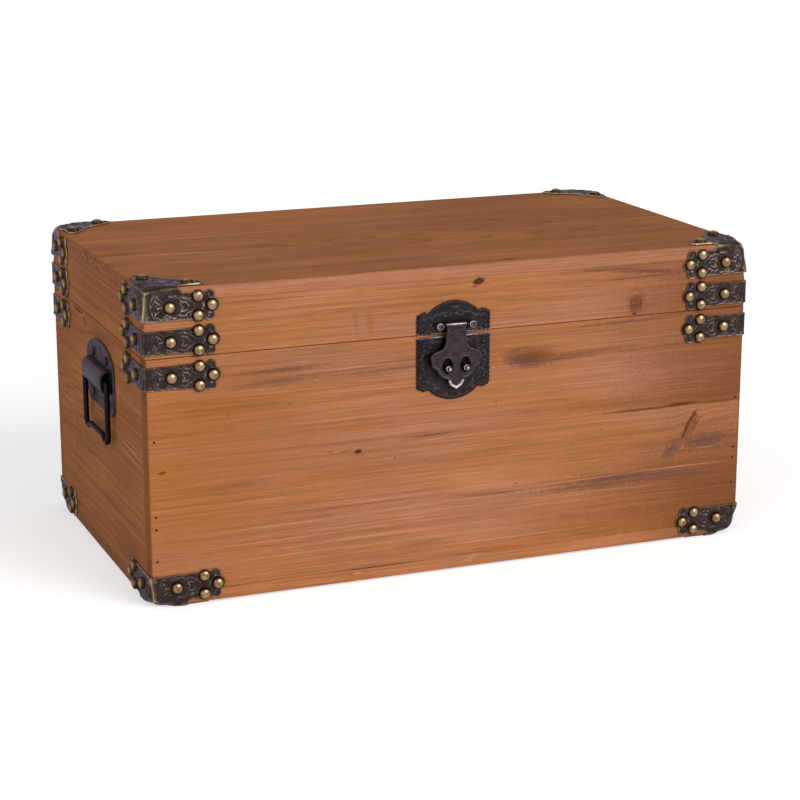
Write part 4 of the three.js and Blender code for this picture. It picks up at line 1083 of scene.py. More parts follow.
def around(points, rise, radius, upward):
    """Lays points of the sharp corner on its rounded form, raised by a height. The corner's edges run along
    +x, +y and, for a three-way corner, -z. A three-way corner is rounder at its tip than along its folds."""
    if upward:
        far = np.abs(points).max(axis=1)
        radius = FOLD_RADIUS + (radius - FOLD_RADIUS) * smooth(CORNER_REACH, radius, far)
    nearest = np.maximum(points, np.reshape(radius, (-1, 1)))
    nearest[:, 2] = np.minimum(points[:, 2], -radius) if upward else points[:, 2]
    out = points - nearest
    out /= np.linalg.norm(out, axis=1, keepdims=True)
    return nearest + out * (radius + rise)[:, None]


def arm_outlines(nail_height):
    """The round lobes at both arms' ends: two petals, and the lobe under the last nail."""
    petal = PETAL_SPREAD / 2
    petals = [circle(side * PETAL, nail_height + rise, PETAL_LOBE)
              for side in (1, -1) for rise in (petal, -petal)]
    return petals + [circle(side * END_NAIL, nail_height, END_LOBE) for side in (1, -1)]


def bent(flat):
    """Points of a strip laid flat, bent sharply over the edge between its arms to -x and +x."""
    return np.stack([np.maximum(flat[:, 0], 0), np.maximum(-flat[:, 0], 0), flat[:, 1]], axis=1)


def flat_keys(flat):
    """Points of a flat sheet, in its own plane."""
    return np.stack([flat[:, 0], flat[:, 1], np.zeros(len(flat))], axis=1)


def sheet_heights(flat, deep, scrolls, relief, rim=0.7):
    """Height of the sheet's face at each point, and how bright and how worn it is there."""
    stroke = stroke_cover(flat, scrolls, 0.38) * smooth(0.35, 0.9, deep)
    bead = smooth(0.95, 0.6, deep) * smooth(0.05, 0.3, deep)
    face = SHEET_REACH - relief * 0.75 + relief * np.maximum(stroke, bead * 0.9)
    top = face - 0.3 * smooth(0.25, 0.0, deep)
    return top, np.maximum(stroke, bead * 0.5), smooth(0.6, 0.15, deep) * rim


def edge_bracket(step, relief):
    """The bent strip over a vertical edge, laid flat: its arms run to -x and +x."""
    half, wide = BAND / 2, FLARE / 2
    band = [(END_NAIL, -END_LOBE), (END_NAIL, END_LOBE), (PAIR_NAIL, wide), (FIRST_NAIL, half),
            (-FIRST_NAIL, half), (-PAIR_NAIL, wide), (-END_NAIL, END_LOBE), (-END_NAIL, -END_LOBE),
            (-PAIR_NAIL, -wide), (-FIRST_NAIL, -half), (FIRST_NAIL, -half), (PAIR_NAIL, -wide)]
    flat, faces, deep = flat_sheet([band] + arm_outlines(0), [], step)
    along = np.stack([np.abs(flat[:, 0]), flat[:, 1]], axis=1)
    top, bright, worn = sheet_heights(along, deep, SCROLLS, relief)
    worn = np.maximum(worn, 0.3 * smooth(1.2, 0.3, along[:, 0]))

    def lift(points, rise):
        return around(points, rise, EDGE_RADIUS, False)
    return thick(bent(flat), faces, lift, top, SEAT, relief=0.75 * bright, wear=worn)


def corner_bracket(step, relief, radius, under_base):
    """The pressed three-way corner: a band round the vertical edge and a leaf on the flat face above it."""
    level = SHEET_REACH - relief * 0.4

    def calmed(top, deep, calm, far):
        """Levels the scrolls by the folds, where the die has none, as far as the folds run."""
        calm = np.where(far > FOLD, 1.0, calm)
        return np.where(deep > 0.3, level + (top - level) * calm, top)

    nails = -NAIL_DROP
    side = [(FOLD, 0), (FOLD + FOLD_RAMP, -UPPER_DROP), (PAIR_NAIL, -UPPER_DROP),
            (END_NAIL, nails + END_LOBE), (END_NAIL, nails - END_LOBE), (PAIR_NAIL, -SKIRT)]
    both = side + [(-x, y) for x, y in reversed(side)]
    lobes = arm_outlines(nails)
    flat, faces, _ = flat_sheet([[(0, 0)] + both] + lobes, [], step)
    deep = depth_in(flat, [np.array(both + [(-FOLD, 9), (FOLD, 9)])] + lobes)
    along = np.stack([np.abs(flat[:, 0]), flat[:, 1] - nails], axis=1)
    top, bright, worn = sheet_heights(along, deep, SCROLLS, relief, 0.9)
    top = calmed(
        top, deep, smooth(0.6, 2.2, -flat[:, 1]) * smooth(0.4, 2.0, along[:, 0]), along[:, 0])
    # The narrow line down the fold is a painted highlight; the wider band beside it and the strip along the
    # top fold are wear.
    fold_wear_and_highlight = (0.62 * smooth(1.1, 0.0, along[:, 0]) + 0.36 * smooth(5.0, 0.8, along[:, 0])
            + 0.35 * smooth(3.4, 0.3, -flat[:, 1]) * (along[:, 0] < FOLD))
    worn = np.maximum(worn, fold_wear_and_highlight)

    half = [(x * LEAF, y * LEAF) for x, y in LEAF_SHARES]
    rim = [(FOLD, 0)] + half + [(y, x) for x, y in reversed(half)][1:] + [(0, FOLD)]
    leaf_lobes = [circle(*spot, LEAF_LOBE) for spot in (LEAF_NAIL, LEAF_NAIL[::-1])]
    leaf, leaf_faces, _ = flat_sheet([[(0, 0)] + rim] + leaf_lobes, [], step)
    leaf_deep = depth_in(leaf, [np.array([(-9, -9), (FOLD, -9)] + rim + [(-9, FOLD)])] + leaf_lobes)
    leaf_top, leaf_bright, leaf_worn = sheet_heights(
        np.sort(leaf, axis=1)[:, ::-1], leaf_deep, LEAF_SCROLLS, relief)
    leaf_top = calmed(
        leaf_top, leaf_deep, smooth(0.6, 2.2, leaf[:, 0]) * smooth(0.6, 2.2, leaf[:, 1]), leaf.max(1))
    if under_base:
        leaf_top = np.minimum(leaf_top, SHEET_REACH)

    def lift(points, rise):
        return around(points, rise, radius, True)
    return thick(
        np.concatenate([bent(flat), flat_keys(leaf)]), np.concatenate([faces, leaf_faces + len(flat)]),
        lift, np.concatenate([top, leaf_top]), SEAT,
        relief=(0.7 if under_base else 1.0) * np.concatenate([bright, 0.5 * leaf_bright]),
        wear=np.concatenate([worn, leaf_worn]))


def corner_places():
    """Every bracket: its name, body, mirror, place and kind."""
    rows = (("lid_corner_", "lid", 1, height, "lid_corner"),
            ("lid_edge_bracket_", "lid", 1, seam + LID_EDGE_RISE, "edge"),
            ("box_edge_bracket_", "box", 1, seam - BOX_EDGE_DROP, "edge"),
            ("base_corner_", "box", -1, 0, "base_corner"))
    for corner, sign_x, sign_y in CORNERS:
        for name, body, up, rise, kind in rows:
            place = (-sign_x * length / 2, -sign_y * depth / 2, rise)
            yield name + corner, body, (sign_x, sign_y, up), place, kind


def nail_places():
    """Every dome nail: its body, its place on its bracket's face and the way it faces."""
    for _, body, mirror, offset, kind in corner_places():
        rise = 0 if kind == "edge" else -NAIL_DROP
        spread = PAIR_SPREAD / 2
        spots = [(FIRST_NAIL, rise), (PAIR_NAIL, rise + spread), (PAIR_NAIL, rise - spread), (END_NAIL, rise)]
        places = [((along, -SHEET_REACH, up), (0, -1, 0)) for along, up in spots]
        places += [((-SHEET_REACH, along, up), (-1, 0, 0)) for along, up in spots]
        if kind == "lid_corner":
            places += [((*spot, SHEET_REACH), (0, 0, 1)) for spot in (LEAF_NAIL, LEAF_NAIL[::-1])]
        for place, facing in places:
            yield body, np.array(mirror) * place + offset, np.array(mirror) * facing


# Fasteners, repeated by Geometry Nodes


def set_copies(tree, given, form):
    """Ends a tree: the form on each point, facing as the point says and turned by its own angle."""
    facing = add_node(
        tree, "GeometryNodeInputNamedAttribute", {"Name": "facing"}, data_type="FLOAT_VECTOR")
    angle = add_node(tree, "GeometryNodeInputNamedAttribute", {"Name": "angle"}, data_type="FLOAT")
    turn = add_node(
        tree, "FunctionNodeAlignRotationToVector", {"Vector": facing.outputs["Attribute"]}, axis="Z")
    copies = add_node(
        tree, "GeometryNodeInstanceOnPoints",
        {"Points": given["Geometry"], "Instance": form, "Rotation": turn.outputs[0]})
    axis = add_node(tree, "ShaderNodeCombineXYZ", {2: angle.outputs["Attribute"]})
    spun = add_node(
        tree, "GeometryNodeRotateInstances", {"Instances": copies.outputs[0], "Rotation": axis.outputs[0]})
    real = add_node(tree, "GeometryNodeRealizeInstances", {"Geometry": spun.outputs[0]})
    finished = add_node(
        tree, "GeometryNodeSetMaterial", {"Geometry": real.outputs[0], "Material": given["Material"]})
    add_node(tree, "NodeGroupOutput", {0: finished.outputs[0]})


def fill_studs(tree, given):
    """Domed heads: the upper half of a ball raised to their height, its lower half sunk into the wood."""
    ball = add_node(
        tree, "GeometryNodeMeshUVSphere",
        {"Segments": given["Sides"], "Rings": given["Rings"], "Radius": 1.0})
    place = add_node(tree, "GeometryNodeInputPosition").outputs[0]
    split = add_node(tree, "ShaderNodeSeparateXYZ", {0: place})
    flat = add_node(tree, "ShaderNodeVectorMath", {0: place, 1: (1, 1, 0)}, operation="MULTIPLY").outputs[0]
    far = add_node(tree, "ShaderNodeVectorMath", {0: flat}, operation="LENGTH")
    marked = add_node(
        tree, "GeometryNodeStoreNamedAttribute",
        {"Geometry": ball.outputs["Mesh"], "Name": "rim", "Value": far.outputs["Value"]},
        data_type="FLOAT", domain="POINT")
    upper = add_node(tree, "ShaderNodeMath", {0: split.outputs[2], 1: 0.0}, operation="MAXIMUM")
    lower = add_node(tree, "ShaderNodeMath", {0: split.outputs[2], 1: 0.0}, operation="MINIMUM")
    raised = add_node(
        tree, "ShaderNodeMath", {0: upper.outputs[0], 1: given["Height"]}, operation="MULTIPLY")
    sunk = add_node(
        tree, "ShaderNodeMath", {0: lower.outputs[0], 1: given["Sink"], 2: raised.outputs[0]},
        operation="MULTIPLY_ADD")
    wide = add_node(tree, "ShaderNodeVectorMath", {0: flat, "Scale": given["Radius"]}, operation="SCALE")
    lifted = add_node(tree, "ShaderNodeCombineXYZ", {2: sunk.outputs[0]})
    moved = add_node(
        tree, "ShaderNodeVectorMath", {0: wide.outputs[0], 1: lifted.outputs[0]}, operation="ADD")
    head = add_node(
        tree, "GeometryNodeSetPosition",
        {"Geometry": marked.outputs["Geometry"], "Position": moved.outputs[0]})
    set_copies(tree, given, head.outputs[0])


def fill_copies(tree, given):
    """Copies of one form."""
    form = add_node(tree, "GeometryNodeObjectInfo", {"Object": given["Form"]})
    set_copies(tree, given, form.outputs["Geometry"])


def stud_tree():
    """The tree that sets domed heads."""
    return shared_group(
        "Domed heads", "GeometryNodeTree",
        {"Geometry": "Geometry", "Radius": "Float", "Height": "Float", "Sink": "Float", "Sides": "Int",
         "Rings": "Int", "Material": "Material"},
        {"Geometry": "Geometry"}, fill_studs)


def copy_tree():
    """The tree that sets copies of a form."""
    return shared_group(
        "Set copies", "GeometryNodeTree", {"Geometry": "Geometry", "Form": "Object", "Material": "Material"},
        {"Geometry": "Geometry"}, fill_copies)


def set_fasteners(name, tree, places, inputs, body, slot, nodes=()):
    """Runs a tree over the places of one body's fasteners and keeps the result as one plain mesh."""
    points, facings, angles = (np.array(column, float) for column in zip(*places))
    mesh = new_mesh(name + "_places", points + shift, [], {"angle": angles})
    facing = mesh.attributes.new("facing", "FLOAT_VECTOR", "POINT")
    facing.data.foreach_set("vector", facings.astype(np.float32).ravel())
    carrier = new_object(name + "_places", mesh)
    modifier = carrier.modifiers.new("Fasteners", "NODES")
    modifier.node_group = tree
    identifiers = {s.name: s.identifier for s in tree.interface.items_tree if s.in_out == "INPUT"}
    for key, value in inputs.items():
        modifier[identifiers[key]] = value
    evaluated = carrier.evaluated_get(bpy.context.evaluated_depsgraph_get())
    plain = bpy.data.meshes.new_from_object(evaluated)
    if not plain.polygons:
        raise RuntimeError(f"{name}: the tree made no faces")
    bpy.data.objects.remove(carrier)
    for extra in ("facing", "angle"):
        if extra in plain.attributes:
            plain.attributes.remove(plain.attributes[extra])
    finish_piece(name, plain, body, slot, nodes, 50)


def screw_head(sizes):
    """A domed screw head with a crossed slot, and the top of its shank."""
    radius, rise = sizes.screw_radius * TO_MM, sizes.screw_height * TO_MM
    flat, faces, deep = flat_sheet([circle(0, 0, radius, 32)], [], 0.3, 0.2)
    far = np.linalg.norm(flat, axis=1) / radius
    arms = np.minimum(np.abs(flat[:, 0]), np.abs(flat[:, 1]))
    reach = np.maximum(np.abs(flat[:, 0]), np.abs(flat[:, 1]))
    slot = smooth(0.5, 0.3, arms) * smooth(1.65, 1.4, reach)
    dome = rise * (0.33 + 0.67 * np.sqrt(np.maximum(0, 1 - far ** 2)))
    top = dome - 0.6 * slot - 0.1 * smooth(0.15, 0, deep)

    def lift(points, height_up):
        return points + height_up[:, None] * (0, 0, 1)
    head = thick(flat_keys(flat), faces, lift, top, 0.0, relief=0.6 * (1 - slot), wear=0 * top)
    shank = turned([(0, -4), (1.2, -4), (1.2, 0.2), (0, 0.2)], 12)
    return together(head, shank)


# Latch


def scalloped(outline, step=0.35, pitch=2.3, bite=0.42):
    """An outline with small scallops along it, a hair inside the plain one."""
    loop = divided(np.array(outline, float), step)
    run = np.roll(loop, -1, axis=0) - np.roll(loop, 1, axis=0)
    inward = np.stack([-run[:, 1], run[:, 0]], axis=1)
    inward /= np.linalg.norm(inward, axis=1, keepdims=True)
    walked = np.concatenate([[0], np.cumsum(np.linalg.norm(np.diff(loop, axis=0), axis=1))])
    waves = bite * np.abs(np.cos(math.pi * walked / pitch)) * smooth(11.5, 14.0, np.abs(loop[:, 0]))
    return loop + inward * waves[:, None]


def plate_outline(edge, far, sign):
    """The latch plate's outline, from the seam; sign -1 turns it downwards."""
    half = LATCH_WIDTH / 2
    arch, step_out, rise = PLATE_ARCH
    foot = far + step_out
    share = np.linspace(0, 1, 17)[:, None]
    a, b, c = np.array([arch, foot]), np.array([0, foot + rise]), np.array([-arch, foot])
    curve = (1 - share) ** 2 * a + 2 * share * (1 - share) * b + share ** 2 * c
    corner = [(half - across, far + up) for across, up in PLATE_CORNER]
    points = [(-half, edge), (half, edge)] + corner + [tuple(p) for p in curve]
    points = [(x, sign * y) for x, y in points + [(-x, y) for x, y in reversed(corner)]]
    return points if sign > 0 else points[::-1]


def front_lift(middle):
    """Stands flat points on the chest's front: x and z from the point, and the height towards the viewer."""
    def lift(points, rise):
        return np.stack([points[:, 0] + LATCH_X, -depth / 2 - rise, points[:, 1] + middle], axis=1)
    return lift


def both_sides(scrolls):
    """The scrolls, and the same on the other side of the middle."""
    other = tuple((-x, y, radius, 180 - last, 180 - first) for x, y, radius, first, last in scrolls)
    return tuple(scrolls) + other


UPPER_SCROLLS = both_sides((
    (1.2, 13.0, 1.4, 10, 160), (1.0, 11.2, 1.3, -90, 70), (1.6, 8.6, 2.2, 20, 120),
    (3.8, 10.4, 1.7, -150, 40), (4.4, 12.6, 1.2, 160, 300), (6.6, 9.2, 2.0, 40, 190),
    (6.8, 9.4, 1.0, 0, 170), (8.6, 12.0, 1.5, 200, 330), (10.4, 8.2, 2.1, -60, 110),
    (10.2, 8.2, 1.1, -80, 90), (12.4, 10.6, 1.4, 150, 300), (14.2, 7.6, 1.9, 30, 170),
    (15.6, 9.8, 1.4, -120, 60), (17.4, 7.0, 1.7, -40, 120), (18.6, 9.6, 1.1, 100, 260),
    (13.6, 3.6, 1.6, 60, 190), (15.6, 4.6, 1.4, -90, 60), (12.0, 5.4, 1.2, 180, 320),
    (19.0, 4.8, 1.0, 90, 250),
))
LOWER_SCROLLS = both_sides((
    (11.6, -5.4, 2.6, -60, 130), (11.6, -5.4, 1.4, -20, 190), (8.2, -3.4, 1.3, 190, 330),
    (14.6, -3.6, 1.2, 30, 160), (18.4, -9.8, 1.7, 110, 290), (17.4, -12.2, 1.2, -70, 90),
    (18.6, -14.8, 1.6, 70, 250), (17.4, -17.4, 1.2, -80, 70), (18.6, -20.2, 1.6, 90, 270),
    (16.2, -21.6, 1.1, -60, 100), (15.6, -27.4, 1.7, 20, 190), (16.8, -29.6, 1.1, 180, 330),
    (12.6, -28.6, 2.2, 110, 290), (12.4, -28.6, 1.1, 60, 250), (9.4, -31.6, 1.9, 0, 170),
    (6.0, -33.0, 1.9, 190, 350), (3.6, -35.6, 1.5, 30, 170), (1.2, -37.6, 1.1, 100, 290),
    (8.4, -34.8, 1.2, 190, 320), (19.0, -24.0, 0.9, 40, 200), (14.8, -8.6, 1.1, 150, 300),
    (13.0, -32.4, 1.0, -70, 90),
))


def latch_plate(edge, far, sign, scrolls, step, relief):
    """A pressed plate with scrolls, scalloped round its rim and worn bright along the seam."""
    flat, faces, deep = flat_sheet([scalloped(plate_outline(edge, far, sign))], [], step)
    stroke = stroke_cover(flat, scrolls, 0.42) * smooth(0.9, 1.6, deep)
    bead = smooth(1.5, 1.1, deep) * smooth(0.5, 0.9, deep)
    top = LATCH_REACH - relief + relief * np.maximum(stroke, bead) - 0.3 * smooth(0.3, 0.0, deep)
    seam_edge = smooth(edge + 0.8, edge + 0.3, np.abs(flat[:, 1])) * (1.5 if sign > 0 else 0.85)
    return thick(
        flat_keys(flat), faces, front_lift(seam), top, SEAT,
        # The upper plate's scrolls are painted dimmer than the lower plate's: painted shade.
        relief=np.maximum(stroke, bead * 0.4) * (0.8 if sign > 0 else 0.9),
        wear=np.maximum(seam_edge, 0.15 * smooth(0.3, 0.1, deep)))


def block_form(low, high, radius):
    """A block with rounded edges."""
    low, high = np.array(low, float), np.array(high, float)
    marks = np.array([0, 0.45, 1.0]) * radius
    lines = [np.concatenate([a + marks, (b - marks)[::-1]]) for a, b in zip(low, high)]
    points, quads = grid_box(*lines)
    return rounded(points, low, high, radius), quads.tolist(), {}


def stood(form, origin, facing):
    """A turned form whose z axis is laid along a direction."""
    turn = Vector((0, 0, 1)).rotation_difference(Vector(facing)).to_matrix()
    return carried(form, np.array(turn), origin)


def tube(inner, outer, start, end, steps):
    """A ring along z with soft outer edges."""
    soft = 0.2
    profile = [(inner, start), (outer - soft, start), (outer, start + soft), (outer, end - soft),
               (outer - soft, end), (inner, end)]
    points, polygons, values = turned(profile, steps)
    last = (len(profile) - 1) * steps
    for i in range(steps):
        j = (i + 1) % steps
        polygons.append((last + i, last + j, j, i))
    return points, outward(points, polygons), values


def softened(outline, times):
    """An outline with its corners cut softly, a little on the first pass and then a quarter of each side."""
    loop = np.array(outline, float)
    for i in range(times):
        share = 0.12 if i == 0 else 0.25
        ends = np.roll(loop, -1, axis=0)
        loop = np.stack([loop + share * (ends - loop), ends - share * (ends - loop)], axis=1).reshape(-1, 2)
    return loop


def flap_form(step, relief):
    """The flap: two holes with collars, a raised rim, a stippled ground and a bright tip."""
    half = [(x * FLAP_WIDTH / 2, -y * FLAP_LENGTH) for x, y in FLAP_SHARES]
    outline = half + [(0, -FLAP_LENGTH)] + [(-x, y) for x, y in reversed(half)]
    outline = softened(outline[::-1], 3)
    holes = [circle(side * HOLE_SPREAD / 2, -HOLE_DROP, HOLE_WIDTH / 2, 40, HOLE_HEIGHT / 2)
             for side in (1, -1)]
    flat, faces, deep = flat_sheet([outline], holes, step)
    outer = loop_depth(flat, outline)
    rim = smooth(1.5, 1.0, outer) * smooth(0.1, 0.5, outer)
    collar = np.max([smooth(1.3, 0.8, -loop_depth(flat, hole)) for hole in holes], axis=0)
    spots = np.random.default_rng(5).uniform(0, 1, len(flat)) ** 2
    ground = FLAP_REACH + FLAP_SHEET - 0.35
    top = ground + 0.35 * np.maximum(rim, collar * 0.6) + 0.1 * spots * (1 - rim) - 0.3 * smooth(0.3, 0, deep)
    tip = smooth(1.5, 0.9, outer) * smooth(-29.6, -30.6, flat[:, 1])
    return thick(
        flat_keys(flat), faces, front_lift(PIN_HEIGHT), top + 0.2 * tip, FLAP_REACH,
        relief=np.maximum(rim * 0.75, 0.9 * spots * (1 - rim)), wear=2.2 * tip)


# Handles


def bezier(points, count):
    """Points of a Bezier curve of any degree, without its last one."""
    share = np.linspace(0, 1, count, endpoint=False)[:, None]
    current = [np.array(p, float)[None] + 0 * share for p in points]
    while len(current) > 1:
        current = [(1 - share) * a + share * b for a, b in zip(current, current[1:])]
    return current[0]


def bail_path():
    """The bail's centre line in the plate's plane: across and up from the pivot."""
    leg = BAIL_SPREAD / 2
    tip, grip, low = leg - BAIL_PIN, GRIP_LENGTH / 2, -BAIL_DROP
    high, ramp = low + GRIP_RISE, GRIP_LENGTH / 2 + GRIP_RAMP
    first = [
        bezier([(-tip, 0), (-(leg - BAIL_BEND), 0)], 4),
        bezier([(-(leg - BAIL_BEND), 0), (-leg, 0), (-leg, -BAIL_BEND)], 10),
        bezier([(-leg, -BAIL_BEND), (-leg, low + BAIL_CORNER)], 8),
        bezier([(-leg, low + BAIL_CORNER), (-leg, low), (-(leg - BAIL_CORNER), low)], 10),
        bezier([(-(leg - BAIL_CORNER), low), (-ramp, low), (-ramp, high), (-grip, high)], 12),
    ]
    half = np.concatenate(first + [bezier([(-grip, high), (0, high)], 8)])
    other = half[::-1] * (-1, 1)
    return np.concatenate([half, [(0, high)], other])


def side_lift(sign):
    """Stands flat points on the left (-1) or right (1) side: y and z from the point, out by the height."""
    def lift(points, rise):
        return np.stack(
            [sign * (length / 2 + rise), points[:, 0] + HANDLE_Y, points[:, 1] + PIVOT_HEIGHT], axis=1)
    return lift


def dishes(flat, spots, rim, floor):
    """1 in the dish round each screw and 0 outside; rim and floor are its radii."""
    return np.max([smooth(rim, floor, np.linalg.norm(flat - spot, axis=1)) for spot in spots], axis=0)


def handle_plate(sign, step):
    """A handle's plate: beaded round its rim, with a rib up its arch and a dish at each screw."""
    half = PLATE_WIDTH / 2
    arch = [(half * math.cos(t), ARCH_FOOT + ARCH_RISE * math.sin(t)) for t in np.linspace(0, math.pi, 33)]
    outline = softened([(-half, -PLATE_DROP), (half, -PLATE_DROP)] + arch, 1)
    holes = [circle(x, y, SCREW_HOLE, 20) for x, y in HANDLE_SCREWS]
    flat, faces, deep = flat_sheet([outline], holes, step)
    outer = loop_depth(flat, outline)
    bead = smooth(1.7, 1.2, outer) * smooth(0.1, 0.6, outer)
    dish = dishes(flat, HANDLE_SCREWS, 4.2, 2.8)
    rib = smooth(1.7, 0.9, np.abs(flat[:, 0])) * smooth(4.0, 7.0, flat[:, 1])
    ground = 0.28 * (1 - np.maximum(bead, rib)) * (1 - dish)
    top = IRON_FACE - ground - 0.35 * dish - 0.3 * smooth(0.3, 0, deep)
    return thick(
        flat_keys(flat), faces if sign > 0 else faces[:, ::-1], side_lift(sign), top, SEAT,
        # The rib's lighter ridge colour is a painted highlight up the middle of the arch.
        relief=np.maximum(bead * 0.8, rib * 0.7), wear=0.3 * smooth(0.5, 0.1, outer))


def hump_form(sign):
    """The bent housing that holds the bail's ends: a thick arch along the plate, open at both ends."""
    reach, half, end = PIVOT_REACH + WIRE + RUNNING + HUMP_WALL, HUMP_HEIGHT / 2, HUMP_LENGTH / 2

    def arch(foot, tip, side):
        return np.concatenate([
            bezier([(foot, -side), (tip, -side), (tip, -side / 2), (tip, 0)], 12),
            bezier([(tip, 0), (tip, side / 2), (tip, side), (foot, side)], 12), [(foot, side)]])
    outer, inner = arch(SEAT, reach, half), arch(SEAT + HUMP_WALL, reach - HUMP_WALL, half - HUMP_WALL)
    flat, faces, deep = flat_sheet([outer], [inner], 0.6, 0.3)

    def lift(points, rise):
        return np.stack(
            [sign * (length / 2 + points[:, 0]), HANDLE_Y + rise, points[:, 1] + PIVOT_HEIGHT], axis=1)
    top = end - 0.35 * smooth(0.3, 0, deep)
    faces = faces[:, ::-1] if sign > 0 else faces
    points, polygons, values = thick(
        flat_keys(flat), faces, lift, top, -end, relief=0.1 + 0 * top, wear=0 * top)
    return points, outward(points, polygons), values


# Hinges


def back_lift(x, sign):
    """Stands flat points on the chest's back: x and z from the point, and the height away from it."""
    def lift(points, rise):
        return np.stack([x + points[:, 0], depth / 2 + rise, seam + sign * points[:, 1]], axis=1)
    return lift


def hinge_leaf(x, sign):
    """A hinge's leaf with its share of the knuckles: two on the lower leaf, one on the upper."""
    half, knuckle = HINGE_WIDTH / 2, KNUCKLE / 2
    gap, clear, soft = KNUCKLE_RADIUS + RUNNING, knuckle + RUNNING, 1.6
    zones = [(-half, -clear), (clear, half)] if sign < 0 else [(-knuckle, knuckle)]
    plate = [(-half, gap), (half, gap), (half, HINGE_LEAF - soft), (half - soft / 2, HINGE_LEAF - soft / 4),
             (half - soft, HINGE_LEAF), (-half + soft, HINGE_LEAF), (-half + soft / 2, HINGE_LEAF - soft / 4),
             (-half, HINGE_LEAF - soft)]
    tabs = [[(a, 0), (b, 0), (b, gap + 0.8), (a, gap + 0.8)] for a, b in zones]
    holes = [circle(across, rise, SCREW_HOLE, 20) for across, rise in HINGE_SCREWS]
    flat, faces, deep = flat_sheet([plate] + tabs, holes, 0.9)
    top = IRON_FACE - 0.2 * dishes(flat, HINGE_SCREWS, 3.8, 2.9) - 0.25 * smooth(0.3, 0, deep)
    leaf = thick(
        flat_keys(flat), faces[:, ::-1] if sign > 0 else faces, back_lift(x, sign), top, SEAT,
        relief=0.15 + 0 * top, wear=0.4 * smooth(0.4, 0.1, deep))
    axis = (x, depth / 2 + HINGE_AXIS, seam)
    rings = [stood(tube(1.3, KNUCKLE_RADIUS, a, b, 28), axis, (1, 0, 0)) for a, b in zones]
    return together(leaf, *rings)


# Operators


class SEACHEST_OT_boards(bpy.types.Operator):
    """Make the twelve stained pine boards"""
    bl_idname = "sea_chest.boards"
    bl_label = "Boards"

    def execute(self, context):
        for seed, node in enumerate(BOARDS):
            make_board(node, context.scene.sea_chest_sizes, context.scene.sea_chest_colours, seed + 1)
        return {"FINISHED"}


class SEACHEST_OT_brackets(bpy.types.Operator):
    """Make the sixteen pressed corner and edge brackets"""
    bl_idname = "sea_chest.brackets"
    bl_label = "Brackets"

    def execute(self, context):
        sizes = context.scene.sea_chest_sizes
        step, relief = sizes.grid * TO_MM, sizes.relief * TO_MM
        forms = {
            "edge": edge_bracket(step, relief),
            "lid_corner": corner_bracket(step, relief, LID_CORNER, False),
            "base_corner": corner_bracket(step, relief, BASE_CORNER, True),
        }
        material = shared_material(context, "bronze")
        for node, body, mirror, offset, kind in corner_places():
            form = carried(forms[kind], np.diag(mirror), offset)
            piece(node + "_pressed", form, body, "antique_bronze", material, [node])
        return {"FINISHED"}


class SEACHEST_OT_nails(bpy.types.Operator):
    """Set the brass dome nails, the latch's small nails and the brads in the panels' ends"""
    bl_idname = "sea_chest.nails"
    bl_label = "Nails"

    def execute(self, context):
        sizes = context.scene.sea_chest_sizes
        nails = {"box": [], "lid": []}
        for body, place, facing in nail_places():
            nails[body].append((place, facing, 0.0))
        tacks = {}
        for body, spots in TACKS.items():
            tacks[body] = [((LATCH_X + side * across, -depth / 2 - LATCH_REACH, seam + rise), (0, -1, 0), 0.0)
                           for across, rise in spots for side in (1, -1)]
        brads = []
        for x, heights in BRADS:
            brads += [((x, -depth / 2, z), (0, -1, 0), 0.0) for z in heights]
            brads += [((x, depth / 2, z + BACK_BRAD_RISE), (0, 1, 0), 0.0) for z in heights]
        for name, placed, radius, rise, sides, rings, finish, slot in (
                ("dome_nails", nails, sizes.nail_radius, sizes.nail_height, 20, 10, "brass", "antique_brass"),
                ("latch_tacks", tacks, sizes.tack_radius, sizes.tack_height, 14, 8, "rivet", "gunmetal"),
                ("brads", {"box": brads}, sizes.brad_radius, BRAD_HEIGHT / TO_MM, 10, 6, "bail",
                 "black_iron")):
            inputs = {"Radius": radius, "Height": rise, "Sink": NAIL_SINK / TO_MM, "Sides": sides,
                      "Rings": rings, "Material": shared_material(context, finish)}
            for body, places in placed.items():
                set_fasteners(f"{body}_{name}", stud_tree(), places, inputs, body, slot)
        return {"FINISHED"}


